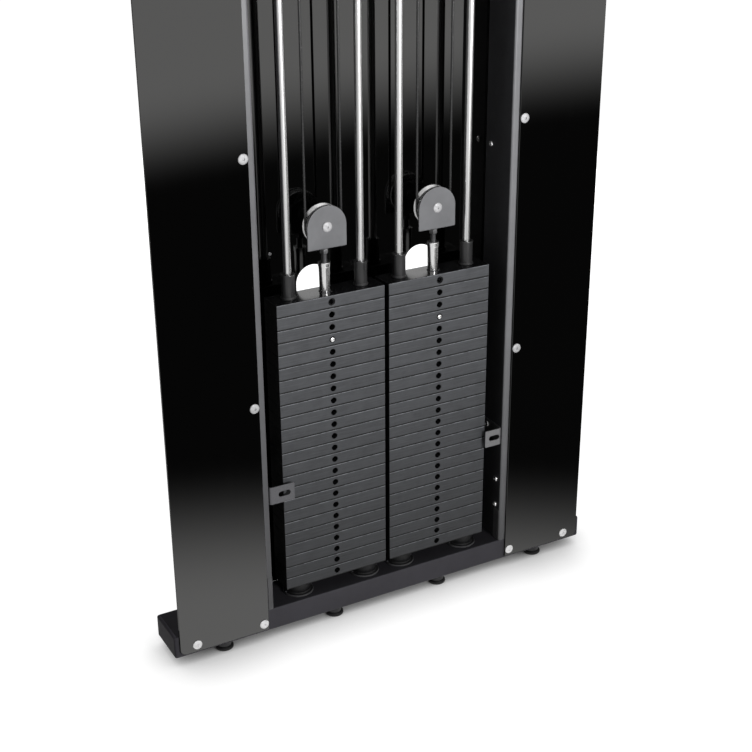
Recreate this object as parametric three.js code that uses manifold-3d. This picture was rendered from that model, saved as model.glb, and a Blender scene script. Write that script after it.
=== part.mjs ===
// A tower with two narrow weight stacks side by side, each lifted by a floating pulley. Millimetres, +Z up.
// X runs across the front, Y runs from the front panels back to the wall, and the feet stand on z = 0.
import * as THREE from "three";
import { mergeVertices } from "three/addons/utils/BufferGeometryUtils.js";
import Module from "manifold-3d";

const wasm = await Module();
wasm.setup();

// Clearances shared by many pieces
const fitGap = 0.3;
const boreGap = 0.3;
const cutOverrun = 2;
const weldDistance = 0.0001;

// Base and top channel: two closed boxes of folded steel
const towerHeight = 1940;
const channelHeight = 48;
const channelDepth = 95;
const channelWall = 3;
const channelCornerRadius = 5;
const channelOverhang = 10;
const accessHoleRadius = 14;

// Front panels: flat sheets screwed to the front of the channels and posts
const frontPanelWidth = 188;
const frontPanelThickness = 5;
const frontPanelCornerRadius = 8;
const frontPanelEndInset = 5;
const panelScrewHoleRadius = 4.5;
const panelScrewEdge = 10;
const panelScrewRise = 17;
const panelScrewOuterEdge = 35;
const panelScrewCount = 5;

// Posts: C channels that stand behind the inner edges of the front panels
const postShow = 14.5;
const postToStack = 35.65;
const postWidth = 50;
const postWall = 3;

// Back panel: one sheet with an arch-topped window behind each stack
const backPanelOverlap = 37.5;
const backPanelThickness = 3;
const windowWidth = 68;
const windowHeight = 120;
const windowTopAboveStack = 37;

// Rubber feet under the base: a wide pad below a narrower neck
const footHeight = 19;
const footPadRadius = 18.5;
const footPadHeight = 6;
const footNeckRadius = 14.5;
const footShoulderHeight = 8.5;
const footEndInset = 110.1;
const frontFootDepth = 25;
const backFootDepth = 80;
const frontFootCount = 4;

// Guide rods and the rubber bumpers at their feet
const rodRadius = 7.5;
const rodPlateEdge = 37.45;
const rodTail = 9;
const bumperRadius = 25;
const bumperFlangeRadius = 31;
const bumperFlangeThickness = 4;
const bumperHeight = 24;

// Weight plates
const stackGap = 9.1;
const stackCentreDepth = 45;
const plateWidth = 227.3;
const plateDepth = 55;
const platePitch = 25.4;
const plateJoint = 0.4;
const plateCount = 24;
const liftedPlateCount = 4;
const jointGrooveHeight = 1.2;
const jointGrooveDepth = 1.2;
const plateRodHoleRadius = 9;
const stemRadius = 11;
const stemBoreRadius = 13;
const stemFootClearance = 4;
const selectorHoleRadius = 5;
const stemHoleRadius = 5.6;
const headHoleRadius = 6.5;
const headHoleDepth = 2;

// Selector pin: a plain pin with a small domed end
const pinRadius = 4.5;
const pinDomeHeight = 2;
const pinReachPastStem = 8;

// Plastic sleeves that guide the head plate on the rods
const sleeveRadius = 13;
const sleeveHeight = 45;

// Coupling between the head plate and the floating pulley
const couplingTopRadius = 11.8;
const couplingNeckRadius = 11;
const couplingFootRadius = 9.6;
const couplingCollarHeight = 8;
const couplingHeight = 58;
const studRadius = 5;
const studLength = 29;
const studNutRadius = 9;
const studNutHeight = 6;

// Pulley wheels, their yokes and axles
const cableRadius = 2.5;
const wheelPitchRadius = 37;
const wheelRimRadius = 39.5;
const wheelRimWidth = 18;
const wheelRimDepth = 10;
const wheelWebWidth = 8;
const wheelHubRadius = 12;
const grooveGap = 0.5;
const grooveFloorWidth = 4;
const grooveMouthWidth = 13;
const wheelRunningGap = 0.8;
const yokeCheekLip = 0.75;
const yokeDepth = 30;
const yokeCheek = 4;
const yokeWeb = 2.4;
const yokeStrapWidth = 44;
const axleRadius = 6;
const axleHeadRadius = 9;
const axleHeadHeight = 4.5;
const axleHeadRimHeight = 1.5;
const axleNutRadius = 9.5;
const axleNutHeight = 6;

// Top wheels hang on ears welded under the top channel, turned to bring the cable out to the front
const topWheelDrop = 48;
const earThickness = 4;
const earRadius = 16;
const earWeldLength = 50;
const earWeldSink = 1;
const anchorRadius = 9;
const anchorLength = 30;
const cableTail = 60;

// Cable end: a stop ball, a shank and an eye
const stopBallRadius = 14;
const endShankRadius = 5;
const endShankLength = 16;
const eyeRadius = 13;
const eyeWireRadius = 3.5;

// Slotted brackets for the front cover
const bracketWall = 3;
const bracketHeight = 40;
const bracketCentreAboveBase = 252.5;
const bracketFlange = 65;
const bracketBendRadius = 4;
const bracketReaches = { left: 54, right: 41 };
const bracketSlotLength = 25;
const bracketSlotHeight = 7;
const bracketSlotEdge = 9.5;
const bracketBoltHoleRadius = 3.5;
const bracketBoltInset = 12;
const bracketBoltRise = 7.5;

// How finely round forms are cut, in sides or steps
const rodSides = 16;
const holeSides = 12;
const bumperSides = 16;
const wheelSides = 18;
const smallHoleSides = 8;
const stemHoleSides = 6;
const stemSides = 12;
const cableSides = 8;
const cableArcSteps = 12;
const cableTailSteps = 18;
const curveSteps = 7;
const cornerSteps = 2;
const arcSteps = 10;

// Places worked out from the sizes above
const frameFrontY = frontPanelThickness;
const frameBackY = frameFrontY + channelDepth;
const backPanelFrontY = frameBackY - backPanelThickness;
const baseBottomZ = footHeight;
const baseTopZ = baseBottomZ + channelHeight;
const towerTopZ = baseBottomZ + towerHeight;
const topChannelZ = towerTopZ - channelHeight;
const stackSpacing = plateWidth + stackGap;
const rodSpacing = plateWidth - 2 * rodPlateEdge;
const yokeWidth = 2 * (wheelRimRadius + yokeCheekLip);
const postInnerX = stackSpacing / 2 + plateWidth / 2 + postToStack;
const openingHalfWidth = postInnerX + postShow;
const cabinetWidth = 2 * (openingHalfWidth + frontPanelWidth);
const channelHalfLength = cabinetWidth / 2 + channelOverhang;
const backPanelHalfWidth = postInnerX + backPanelOverlap;
const footSpacing = 2 * (channelHalfLength - footEndInset) / (frontFootCount - 1);
const stackBottomZ = baseTopZ + fitGap + bumperHeight + fitGap;
const stackTopZ = stackBottomZ + plateCount * platePitch - plateJoint;
const couplingBottomZ = stackTopZ + fitGap;
const studTopZ = couplingBottomZ + couplingHeight + studLength;
const yokeBottomZ = studTopZ + fitGap;
const liftWheelZ = yokeBottomZ + yokeWeb + wheelRunningGap + wheelRimRadius;
const topWheelZ = topChannelZ - topWheelDrop;
const topWheelY = stackCentreDepth - wheelPitchRadius;
const tailY = topWheelY - wheelPitchRadius;
const tailEndZ = topWheelZ - cableTail;
const bracketCentreZ = baseTopZ + bracketCentreAboveBase;
const sides = [["left", -1], ["right", 1]];

// Materials
const finish = (color, roughness, metalness) => new THREE.MeshStandardMaterial({ color, roughness, metalness });
const charcoalSteel = finish(0x3f3d43, 0.45, 0.3);
const postSteel = finish(0x85858a, 0.4, 0.4);
const blackGloss = finish(0x0a0a0b, 0.05, 0);
const chrome = finish(0xd6d8da, 0.12, 1);
const plateGrey = finish(0x54575b, 0.5, 0.3);
const cheekGrey = finish(0x888a8d, 0.45, 0.3);
const blackPlastic = finish(0x3a3b3d, 0.5, 0);
const rubber = finish(0x1b1b1c, 0.8, 0);
const steelCable = finish(0x8f9295, 0.35, 0.8);
const bracketSteel = finish(0x9d9fa2, 0.4, 0.5);

const tower = new THREE.Group();

// Merges a geometry's shared corners, drops the flat slivers at poles and turns its faces outward.
function weld(geometry) {
  const bare = geometry.clone();
  bare.deleteAttribute("normal");
  bare.deleteAttribute("uv");
  const merged = mergeVertices(bare, weldDistance);
  const corners = merged.index.array;
  const place = merged.attributes.position;
  const at = (i) => new THREE.Vector3().fromBufferAttribute(place, i);
  const kept = [];
  let volume = 0;
  for (let i = 0; i < corners.length; i += 3) {
    const [a, b, c] = [corners[i], corners[i + 1], corners[i + 2]];
    if (a === b || b === c || c === a) continue;
    volume += at(a).dot(at(b).cross(at(c)));
    kept.push(a, b, c);
  }
  merged.setIndex(volume < 0 ? kept.reverse() : kept);
  return merged;
}

// A closed geometry as a solid that can be joined and cut
function solid(geometry) {
  const welded = weld(geometry);
  return new wasm.Manifold(new wasm.Mesh({
    numProp: 3,
    vertProperties: new Float32Array(welded.attributes.position.array),
    triVerts: new Uint32Array(welded.index.array),
  }));
}

// The geometry of a finished solid
function geometryOf(body) {
  const mesh = body.getMesh();
  const geometry = new THREE.BufferGeometry();
  geometry.setAttribute("position", new THREE.Float32BufferAttribute(mesh.vertProperties, 3));
  geometry.setIndex(Array.from(mesh.triVerts));
  geometry.computeVertexNormals();
  return geometry;
}

// Adds one named piece to the tower.
function add(name, shape, material) {
  const geometry = shape instanceof THREE.BufferGeometry ? weld(shape) : geometryOf(shape);
  if (!geometry.attributes.normal) geometry.computeVertexNormals();
  const mesh = new THREE.Mesh(geometry, material);
  mesh.name = name;
  tower.add(mesh);
}

// A box between two corners
function block(x0, x1, y0, y1, z0, z1) {
  const box = new THREE.BoxGeometry(x1 - x0, y1 - y0, z1 - z0);
  return box.translate((x0 + x1) / 2, (y0 + y1) / 2, (z0 + z1) / 2);
}

// A closed outline from corner points
function outline(points) {
  return new THREE.Shape(points.map(([u, v]) => new THREE.Vector2(u, v)));
}

// An outline drawn in x and y, raised to a height
function raised(shape, z0, z1, steps = curveSteps) {
  const geometry = new THREE.ExtrudeGeometry(shape, { depth: z1 - z0, bevelEnabled: false, curveSegments: steps });
  return geometry.translate(0, 0, z0);
}

// An outline drawn in x and z, thickened along y
function facing(shape, y0, y1, steps = curveSteps) {
  const geometry = new THREE.ExtrudeGeometry(shape, { depth: y1 - y0, bevelEnabled: false, curveSegments: steps });
  return geometry.rotateX(Math.PI / 2).translate(0, y1, 0);
}

// An outline drawn in y and z, thickened along x
function sideways(shape, x0, x1, steps = curveSteps) {
  const geometry = new THREE.ExtrudeGeometry(shape, { depth: x1 - x0, bevelEnabled: false, curveSegments: steps });
  return geometry.rotateX(Math.PI / 2).rotateZ(Math.PI / 2).translate(x0, 0, 0);
}

// A turned form about the vertical: each point is a radius and a height.
function turned(points, steps) {
  const profile = points.map(([radius, height]) => new THREE.Vector2(radius, height));
  return new THREE.LatheGeometry(profile, steps).rotateX(Math.PI / 2);
}

// A turned ring or tube, whose profile closes on itself
function turnedRing(points, steps) {
  return turned([...points, points[0]], steps);
}

// An upright cylinder at a place
function pillar(radius, x, y, z0, z1, steps) {
  return turned([[0, z0], [radius, z0], [radius, z1], [0, z1]], steps).translate(x, y, 0);
}

// A turned form laid along y, from the front to the back
function layAlongY(geometry) {
  return geometry.rotateX(-Math.PI / 2);
}

// A turned form laid along x
function layAlongX(geometry) {
  return geometry.rotateY(Math.PI / 2);
}

// A round hole cutter along y
function holeAlongY(radius, x, z, y0, y1, holeRoundness = smallHoleSides) {
  return layAlongY(pillar(radius, 0, 0, y0, y1, holeRoundness)).translate(x, 0, z);
}

// A rectangle with all four corners rounded
function roundedRectangle(u0, u1, v0, v1, radius) {
  const shape = new THREE.Shape();
  shape.moveTo(u0 + radius, v0);
  shape.lineTo(u1 - radius, v0);
  shape.absarc(u1 - radius, v0 + radius, radius, -Math.PI / 2, 0);
  shape.lineTo(u1, v1 - radius);
  shape.absarc(u1 - radius, v1 - radius, radius, 0, Math.PI / 2);
  shape.lineTo(u0 + radius, v1);
  shape.absarc(u0 + radius, v1 - radius, radius, Math.PI / 2, Math.PI);
  shape.lineTo(u0, v0 + radius);
  shape.absarc(u0 + radius, v0 + radius, radius, Math.PI, 1.5 * Math.PI);
  return shape;
}

// An upright form with a half-round top, as the windows and the yoke cheeks have
function archOutline(centreX, width, bottomZ, topZ) {
  const radius = width / 2;
  const shape = new THREE.Shape();
  shape.moveTo(centreX - radius, bottomZ);
  shape.lineTo(centreX + radius, bottomZ);
  shape.absarc(centreX, topZ - radius, radius, 0, Math.PI);
  return shape;
}

// The places of the four guide rods
function rodPlaces() {
  const places = [];
  for (const [side, sign] of sides) {
    for (const [row, step] of [["outer", 1], ["inner", -1]]) {
      places.push({ name: `${side}_${row}`, x: sign * (stackSpacing / 2 + step * rodSpacing / 2) });
    }
  }
  return places;
}

// A closed box of folded steel, with rod holes in its inner face and access holes in its outer face
function channel(z0, innerFaceIsTop) {
  const halfLength = channelHalfLength;
  const z1 = z0 + channelHeight;
  const shell = roundedRectangle(-halfLength, halfLength, frameFrontY, frameBackY, channelCornerRadius);
  const inner = block(-halfLength + channelWall, halfLength - channelWall, frameFrontY + channelWall,
    frameBackY - channelWall, z0 + channelWall, z1 - channelWall);
  let body = solid(raised(shell, z0, z1, cornerSteps)).subtract(solid(inner));
  for (const rod of rodPlaces()) {
    const middle = (z0 + z1) / 2;
    const [low, high] = innerFaceIsTop ? [middle, z1 + cutOverrun] : [z0 - cutOverrun, middle];
    const [accessLow, accessHigh] = innerFaceIsTop ? [z0 - cutOverrun, middle] : [middle, z1 + cutOverrun];
    body = body.subtract(solid(pillar(rodRadius + boreGap, rod.x, stackCentreDepth, low, high, rodSides)));
    body = body.subtract(solid(pillar(accessHoleRadius, rod.x, stackCentreDepth, accessLow, accessHigh, holeSides)));
  }
  return body;
}

function makeBase() {
  add("base_channel", channel(baseBottomZ, true), charcoalSteel);
}

// The top channel carries two pairs of ears for the top wheels and a socket for each cable's fixed end.
function makeTopChannel() {
  let body = channel(topChannelZ, false);
  const weldZ = topChannelZ + earWeldSink;
  for (const [, sign] of sides) {
    const wheelX = sign * (stackSpacing / 2 + wheelPitchRadius);
    const anchorX = sign * (stackSpacing / 2 - wheelPitchRadius);
    const ear = new THREE.Shape();
    ear.moveTo(frameFrontY + earWeldLength, weldZ);
    ear.lineTo(frameFrontY, weldZ);
    ear.absarc(topWheelY, topWheelZ, earRadius, Math.PI, 2 * Math.PI);
    const innerGap = yokeDepth / 2 - yokeCheek;
    const axleHole = layAlongX(pillar(axleRadius + boreGap, 0, 0, -yokeDepth, yokeDepth, holeSides));
    for (const step of [-1, 1]) {
      const [near, far] = [wheelX + step * innerGap, wheelX + step * (innerGap + earThickness)];
      body = body.add(solid(sideways(ear, Math.min(near, far), Math.max(near, far))));
    }
    body = body.subtract(solid(axleHole.translate(wheelX, topWheelY, topWheelZ)));
    const anchor = pillar(anchorRadius, anchorX, stackCentreDepth, topChannelZ - anchorLength, weldZ, holeSides);
    body = body.add(solid(anchor));
  }
  add("top_channel", body, charcoalSteel);
}

function makePosts() {
  for (const [side, sign] of sides) {
    const [webX, outerX] = [sign * postInnerX, sign * (postInnerX + postWidth)];
    const insideX = sign * (postInnerX + postWall);
    const backY = backPanelFrontY - fitGap;
    const profile = outline([
      [webX, frameFrontY], [outerX, frameFrontY], [outerX, frameFrontY + postWall],
      [insideX, frameFrontY + postWall], [insideX, backY - postWall], [outerX, backY - postWall],
      [outerX, backY], [webX, backY],
    ]);
    add(`${side}_post`, raised(profile, baseTopZ + fitGap, topChannelZ - fitGap), postSteel);
  }
}

// The heights of the screws up a front panel's inner edge
function panelScrewHeights() {
  const low = baseBottomZ + frontPanelEndInset + panelScrewRise;
  const high = towerTopZ - frontPanelEndInset - panelScrewRise;
  return Array.from({ length: panelScrewCount }, (_, i) => low + (high - low) * i / (panelScrewCount - 1));
}

function makeFrontPanels() {
  for (const [side, sign] of sides) {
    const [innerX, outerX] = [sign * openingHalfWidth, sign * cabinetWidth / 2];
    const [bottomZ, topZ] = [baseBottomZ + frontPanelEndInset, towerTopZ - frontPanelEndInset];
    const bendX = outerX - sign * frontPanelCornerRadius;
    const shape = new THREE.Shape();
    shape.moveTo(innerX, bottomZ);
    shape.lineTo(bendX, bottomZ);
    shape.quadraticCurveTo(outerX, bottomZ, outerX, bottomZ + frontPanelCornerRadius);
    shape.lineTo(outerX, topZ - frontPanelCornerRadius);
    shape.quadraticCurveTo(outerX, topZ, bendX, topZ);
    shape.lineTo(innerX, topZ);
    const heights = panelScrewHeights();
    const holes = heights.map((z) => [innerX + sign * panelScrewEdge, z]);
    holes.push([outerX - sign * panelScrewOuterEdge, heights[0]]);
    holes.push([outerX - sign * panelScrewOuterEdge, heights[heights.length - 1]]);
    let body = solid(facing(shape, 0, frontPanelThickness - fitGap, arcSteps / 2));
    for (const [x, z] of holes) {
      body = body.subtract(solid(holeAlongY(panelScrewHoleRadius, x, z, -cutOverrun, frontPanelThickness)));
    }
    add(`${side}_front_panel`, body, blackGloss);
  }
}

function makeBackPanel() {
  const [y0, y1] = [backPanelFrontY, frameBackY];
  const half = backPanelHalfWidth;
  let body = solid(block(-half, half, y0, y1, baseTopZ + fitGap, topChannelZ - fitGap));
  const topZ = stackTopZ + windowTopAboveStack;
  for (const [, sign] of sides) {
    const arch = archOutline(sign * stackSpacing / 2, windowWidth, topZ - windowHeight, topZ);
    body = body.subtract(solid(facing(arch, y0 - cutOverrun, y1 + cutOverrun)));
  }
  add("back_panel", body, blackGloss);
}

function makeFeet() {
  const z1 = footHeight - fitGap;
  const foot = () => turned([
    [0, 0], [footPadRadius, 0], [footPadRadius, footPadHeight], [footNeckRadius, footShoulderHeight],
    [footNeckRadius, z1], [0, z1],
  ], bumperSides);
  const firstX = -footSpacing * (frontFootCount - 1) / 2;
  for (let i = 0; i < frontFootCount; i += 1) {
    add(`front_foot_${i + 1}`, foot().translate(firstX + i * footSpacing, frontFootDepth, 0), rubber);
  }
  for (const [side, sign] of sides) {
    add(`${side}_back_foot`, foot().translate(-sign * firstX, backFootDepth, 0), rubber);
  }
}

function makeRodsAndBumpers() {
  const [rodBottomZ, rodTopZ] = [baseTopZ - channelWall - rodTail, topChannelZ + channelWall + rodTail];
  const bore = rodRadius + boreGap;
  const [footZ, topZ] = [baseTopZ + fitGap, baseTopZ + fitGap + bumperHeight];
  const flangeZ = footZ + bumperFlangeThickness;
  const bumperProfile = [
    [bore, footZ], [bumperFlangeRadius, footZ], [bumperFlangeRadius, flangeZ],
    [bumperRadius, flangeZ], [bumperRadius, topZ], [bore, topZ],
  ];
  for (const rod of rodPlaces()) {
    add(`${rod.name}_guide_rod`, pillar(rodRadius, rod.x, stackCentreDepth, rodBottomZ, rodTopZ, rodSides), chrome);
    const bumper = turnedRing(bumperProfile, bumperSides);
    add(`${rod.name}_bumper`, bumper.translate(rod.x, stackCentreDepth, 0), rubber);
  }
}

// The middle height of a plate, counted from 1 at the top
function plateMiddleZ(number) {
  return stackTopZ + plateJoint - (number - 0.5) * platePitch;
}

// A run of plates as one body: a core with a slab for each plate, so that every joint shows as a groove
function plateRun(centreX, first, last, boreRadius = stemBoreRadius) {
  const [x0, x1] = [centreX - plateWidth / 2, centreX + plateWidth / 2];
  const [y0, y1] = [stackCentreDepth - plateDepth / 2, stackCentreDepth + plateDepth / 2];
  const halfPitch = platePitch / 2;
  const topZ = plateMiddleZ(first) + halfPitch - plateJoint;
  const bottomZ = plateMiddleZ(last) - halfPitch;
  const groove = jointGrooveDepth;
  let body = solid(block(x0 + groove, x1 - groove, y0 + groove, y1 - groove, bottomZ, topZ));
  for (let number = first; number <= last; number += 1) {
    const slabTop = number === first ? topZ : plateMiddleZ(number) + halfPitch - jointGrooveHeight / 2;
    const slabBottom = number === last ? bottomZ : plateMiddleZ(number) - halfPitch + jointGrooveHeight / 2;
    body = body.add(solid(block(x0, x1, y0, y1, slabBottom, slabTop)));
  }
  const cutZ = [bottomZ - cutOverrun, topZ + cutOverrun];
  for (const step of [-1, 1]) {
    const x = centreX + step * rodSpacing / 2;
    body = body.subtract(solid(pillar(plateRodHoleRadius, x, stackCentreDepth, ...cutZ, holeSides)));
  }
  return body.subtract(solid(pillar(boreRadius, centreX, stackCentreDepth, ...cutZ, stemSides)));
}

// Cuts the selector hole of each plate, from the front face to the bore at its middle.
function withSelectorHoles(run, centreX, first, last) {
  const frontY = stackCentreDepth - plateDepth / 2;
  let body = run;
  for (let number = first; number <= last; number += 1) {
    const z = plateMiddleZ(number);
    body = body.subtract(solid(holeAlongY(selectorHoleRadius, centreX, z, frontY - cutOverrun, stackCentreDepth)));
  }
  return body;
}

function makePlates(side, centreX) {
  const frontY = stackCentreDepth - plateDepth / 2;
  const headZ = plateMiddleZ(1);
  const counterbore = holeAlongY(headHoleRadius, centreX, headZ, frontY - cutOverrun, frontY + headHoleDepth);
  const head = withSelectorHoles(plateRun(centreX, 1, 1, stemRadius + boreGap), centreX, 1, 1);
  add(`${side}_head_plate`, head.subtract(solid(counterbore)), plateGrey);
  const lifted = [2, liftedPlateCount];
  add(`${side}_lifted_plates`, withSelectorHoles(plateRun(centreX, ...lifted), centreX, ...lifted), plateGrey);
  const resting = [liftedPlateCount + 1, plateCount];
  add(`${side}_resting_plates`, withSelectorHoles(plateRun(centreX, ...resting), centreX, ...resting), plateGrey);
}

// The drilled stem that hangs from the head plate through all the plates
function makeSelectorStem(side, centreX) {
  const bottomZ = stackBottomZ + stemFootClearance;
  let body = solid(pillar(stemRadius, centreX, stackCentreDepth, bottomZ, stackTopZ, stemSides));
  const [y0, y1] = [stackCentreDepth - stemBoreRadius, stackCentreDepth + stemBoreRadius];
  for (let number = 2; number <= plateCount; number += 1) {
    const hole = holeAlongY(stemHoleRadius, centreX, plateMiddleZ(number), y0, y1, stemHoleSides);
    body = body.subtract(solid(hole));
  }
  add(`${side}_selector_stem`, body, chrome);
}

function makeSelectorPin(side, centreX) {
  const faceY = stackCentreDepth - plateDepth / 2;
  const backY = stackCentreDepth + pinReachPastStem;
  const profile = [
    [0, faceY - pinDomeHeight], [pinRadius * 0.6, faceY - pinDomeHeight * 0.7], [pinRadius, faceY],
    [pinRadius, backY], [0, backY],
  ];
  const pin = layAlongY(turned(profile, smallHoleSides)).translate(centreX, 0, plateMiddleZ(liftedPlateCount));
  add(`${side}_selector_pin`, pin, chrome);
}

function makeRodSleeves(side, centreX, sign) {
  const bore = rodRadius + boreGap;
  const [z0, z1] = [stackTopZ + fitGap, stackTopZ + fitGap + sleeveHeight];
  for (const [row, step] of [["outer", 1], ["inner", -1]]) {
    const sleeve = turnedRing([[bore, z0], [sleeveRadius, z0], [sleeveRadius, z1], [bore, z1]], rodSides);
    const x = centreX + sign * step * rodSpacing / 2;
    add(`${side}_${row}_rod_sleeve`, sleeve.translate(x, stackCentreDepth, 0), blackPlastic);
  }
}

// The chrome coupling, its stud and the nut that locks it under the yoke, turned as one piece
function makeCoupling(side, centreX) {
  const z0 = couplingBottomZ;
  const topZ = z0 + couplingHeight;
  const nutZ = studTopZ - studNutHeight;
  const profile = [
    [0, z0], [couplingFootRadius, z0], [couplingNeckRadius, topZ - couplingCollarHeight],
    [couplingTopRadius, topZ - couplingCollarHeight], [couplingTopRadius, topZ], [studRadius, topZ],
    [studRadius, nutZ], [studNutRadius, nutZ], [studNutRadius, studTopZ], [0, studTopZ],
  ];
  add(`${side}_lift_coupling`, turned(profile, holeSides).translate(centreX, stackCentreDepth, 0), chrome);
}

// The yoke: a wide arch-topped cheek in front, and a narrower strap that runs under the wheel and up behind it
function makeYoke(side, centreX) {
  const [frontY, backY] = [stackCentreDepth - yokeDepth / 2, stackCentreDepth + yokeDepth / 2];
  const cheek = archOutline(centreX, yokeWidth, yokeBottomZ, liftWheelZ + yokeWidth / 2);
  const strap = archOutline(centreX, yokeStrapWidth, yokeBottomZ, liftWheelZ + yokeStrapWidth / 2);
  const wheelSpace = block(centreX - yokeWidth, centreX + yokeWidth, frontY + yokeCheek, backY - yokeCheek,
    yokeBottomZ + yokeWeb, liftWheelZ + yokeWidth);
  const [holeFrontY, holeBackY] = [frontY - cutOverrun, backY + cutOverrun];
  const axleHole = holeAlongY(axleRadius + boreGap, centreX, liftWheelZ, holeFrontY, holeBackY, holeSides);
  const body = solid(facing(cheek, frontY, frontY + yokeCheek, arcSteps))
    .add(solid(facing(strap, frontY + yokeCheek / 2, backY)).subtract(solid(wheelSpace)))
    .subtract(solid(axleHole));
  add(`${side}_pulley_yoke`, body, cheekGrey);
}

// A grooved wheel about the vertical, to be turned onto its axle
function wheel() {
  const halfRim = wheelRimWidth / 2;
  const halfHub = yokeDepth / 2 - yokeCheek - fitGap;
  const halfWeb = wheelWebWidth / 2;
  const floor = wheelPitchRadius - cableRadius - grooveGap;
  const rimInside = wheelRimRadius - wheelRimDepth;
  const bore = axleRadius + boreGap;
  const half = [
    [bore, halfHub], [wheelHubRadius, halfHub], [wheelHubRadius, halfWeb], [rimInside, halfWeb],
    [rimInside, halfRim], [wheelRimRadius, halfRim], [wheelRimRadius, grooveMouthWidth / 2],
    [floor, grooveFloorWidth / 2],
  ];
  const mirrored = half.map(([radius, height]) => [radius, -height]).reverse();
  return turnedRing([...half, ...mirrored], wheelSides);
}

// An axle bolt about the vertical: a domed head at the low end and a nut at the high end
function axleBolt() {
  const half = yokeDepth / 2 + fitGap;
  return turned([
    [0, -half - axleHeadHeight], [axleHeadRadius / 2, -half - axleHeadHeight],
    [axleHeadRadius, -half - axleHeadRimHeight], [axleHeadRadius, -half], [axleRadius, -half],
    [axleRadius, half], [axleNutRadius, half], [axleNutRadius, half + axleNutHeight], [0, half + axleNutHeight],
  ], holeSides);
}

// A half-circle path for the cable round a wheel, in the plane of two directions
class HalfTurn extends THREE.Curve {
  constructor(centre, radius, start, over) {
    super();
    Object.assign(this, { centre, radius, start, over });
  }
  getPoint(t) {
    const angle = Math.PI * t;
    const point = this.centre.clone();
    point.addScaledVector(this.start, this.radius * Math.cos(angle));
    return point.addScaledVector(this.over, this.radius * Math.sin(angle));
  }
}

// A round cable along a path
function cableAlong(path, steps) {
  const corners = Array.from({ length: cableSides }, (_, i) => {
    const angle = 2 * Math.PI * i / cableSides;
    return [cableRadius * Math.cos(angle), cableRadius * Math.sin(angle)];
  });
  return new THREE.ExtrudeGeometry(outline(corners), { steps, extrudePath: path, bevelEnabled: false });
}

// The floating wheel with its axle, and the cable that passes under it
function makeLiftWheel(side, centreX) {
  const centre = new THREE.Vector3(centreX, stackCentreDepth, liftWheelZ);
  add(`${side}_lift_wheel`, layAlongY(wheel()).translate(...centre), blackPlastic);
  add(`${side}_wheel_axle`, layAlongY(axleBolt()).translate(...centre), chrome);
  const under = new HalfTurn(centre, wheelPitchRadius, new THREE.Vector3(-1, 0, 0), new THREE.Vector3(0, 0, -1));
  add(`${side}_wheel_cable`, cableAlong(under, cableArcSteps), steelCable);
}

// The two upright strands: the fixed one ends in the anchor, the running one rises to the top wheel.
function makeStrands(side, sign) {
  const bottomZ = liftWheelZ + fitGap;
  const fixedX = sign * (stackSpacing / 2 - wheelPitchRadius);
  const runningX = sign * (stackSpacing / 2 + wheelPitchRadius);
  const anchorZ = topChannelZ - anchorLength - fitGap;
  const fixed = pillar(cableRadius, fixedX, stackCentreDepth, bottomZ, anchorZ, cableSides);
  const running = pillar(cableRadius, runningX, stackCentreDepth, bottomZ, topWheelZ - fitGap, cableSides);
  add(`${side}_fixed_strand`, fixed, steelCable);
  add(`${side}_running_strand`, running, steelCable);
}

// The top wheel with its axle, and the cable that passes over it and hangs down at the front
function makeTopWheel(side, sign) {
  const centre = new THREE.Vector3(sign * (stackSpacing / 2 + wheelPitchRadius), topWheelY, topWheelZ);
  add(`${side}_top_wheel`, layAlongX(wheel()).translate(...centre), blackPlastic);
  add(`${side}_top_axle`, layAlongX(axleBolt()).translate(...centre), chrome);
  const path = new THREE.CurvePath();
  path.add(new HalfTurn(centre, wheelPitchRadius, new THREE.Vector3(0, 1, 0), new THREE.Vector3(0, 0, 1)));
  path.add(new THREE.LineCurve3(
    new THREE.Vector3(centre.x, tailY, topWheelZ),
    new THREE.Vector3(centre.x, tailY, tailEndZ),
  ));
  add(`${side}_top_cable`, cableAlong(path, cableTailSteps), steelCable);
}

// The cable's free end: a stop ball on a shank with an eye for a handle's hook
function makeCableEnd(side, sign) {
  const x = sign * (stackSpacing / 2 + wheelPitchRadius);
  const ballTop = tailEndZ - fitGap;
  const ballCentre = ballTop - stopBallRadius;
  const eyeCentre = ballCentre - stopBallRadius - endShankLength - eyeRadius;
  const ball = new THREE.SphereGeometry(stopBallRadius, rodSides, rodSides / 2).translate(x, tailY, ballCentre);
  const shank = pillar(endShankRadius, x, tailY, eyeCentre + eyeRadius, ballCentre, cableSides);
  const eye = new THREE.TorusGeometry(eyeRadius, eyeWireRadius, smallHoleSides, holeSides);
  const body = solid(ball).add(solid(shank)).add(solid(eye.rotateY(Math.PI / 2).translate(x, tailY, eyeCentre)));
  add(`${side}_cable_end`, body, rubber);
}

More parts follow.
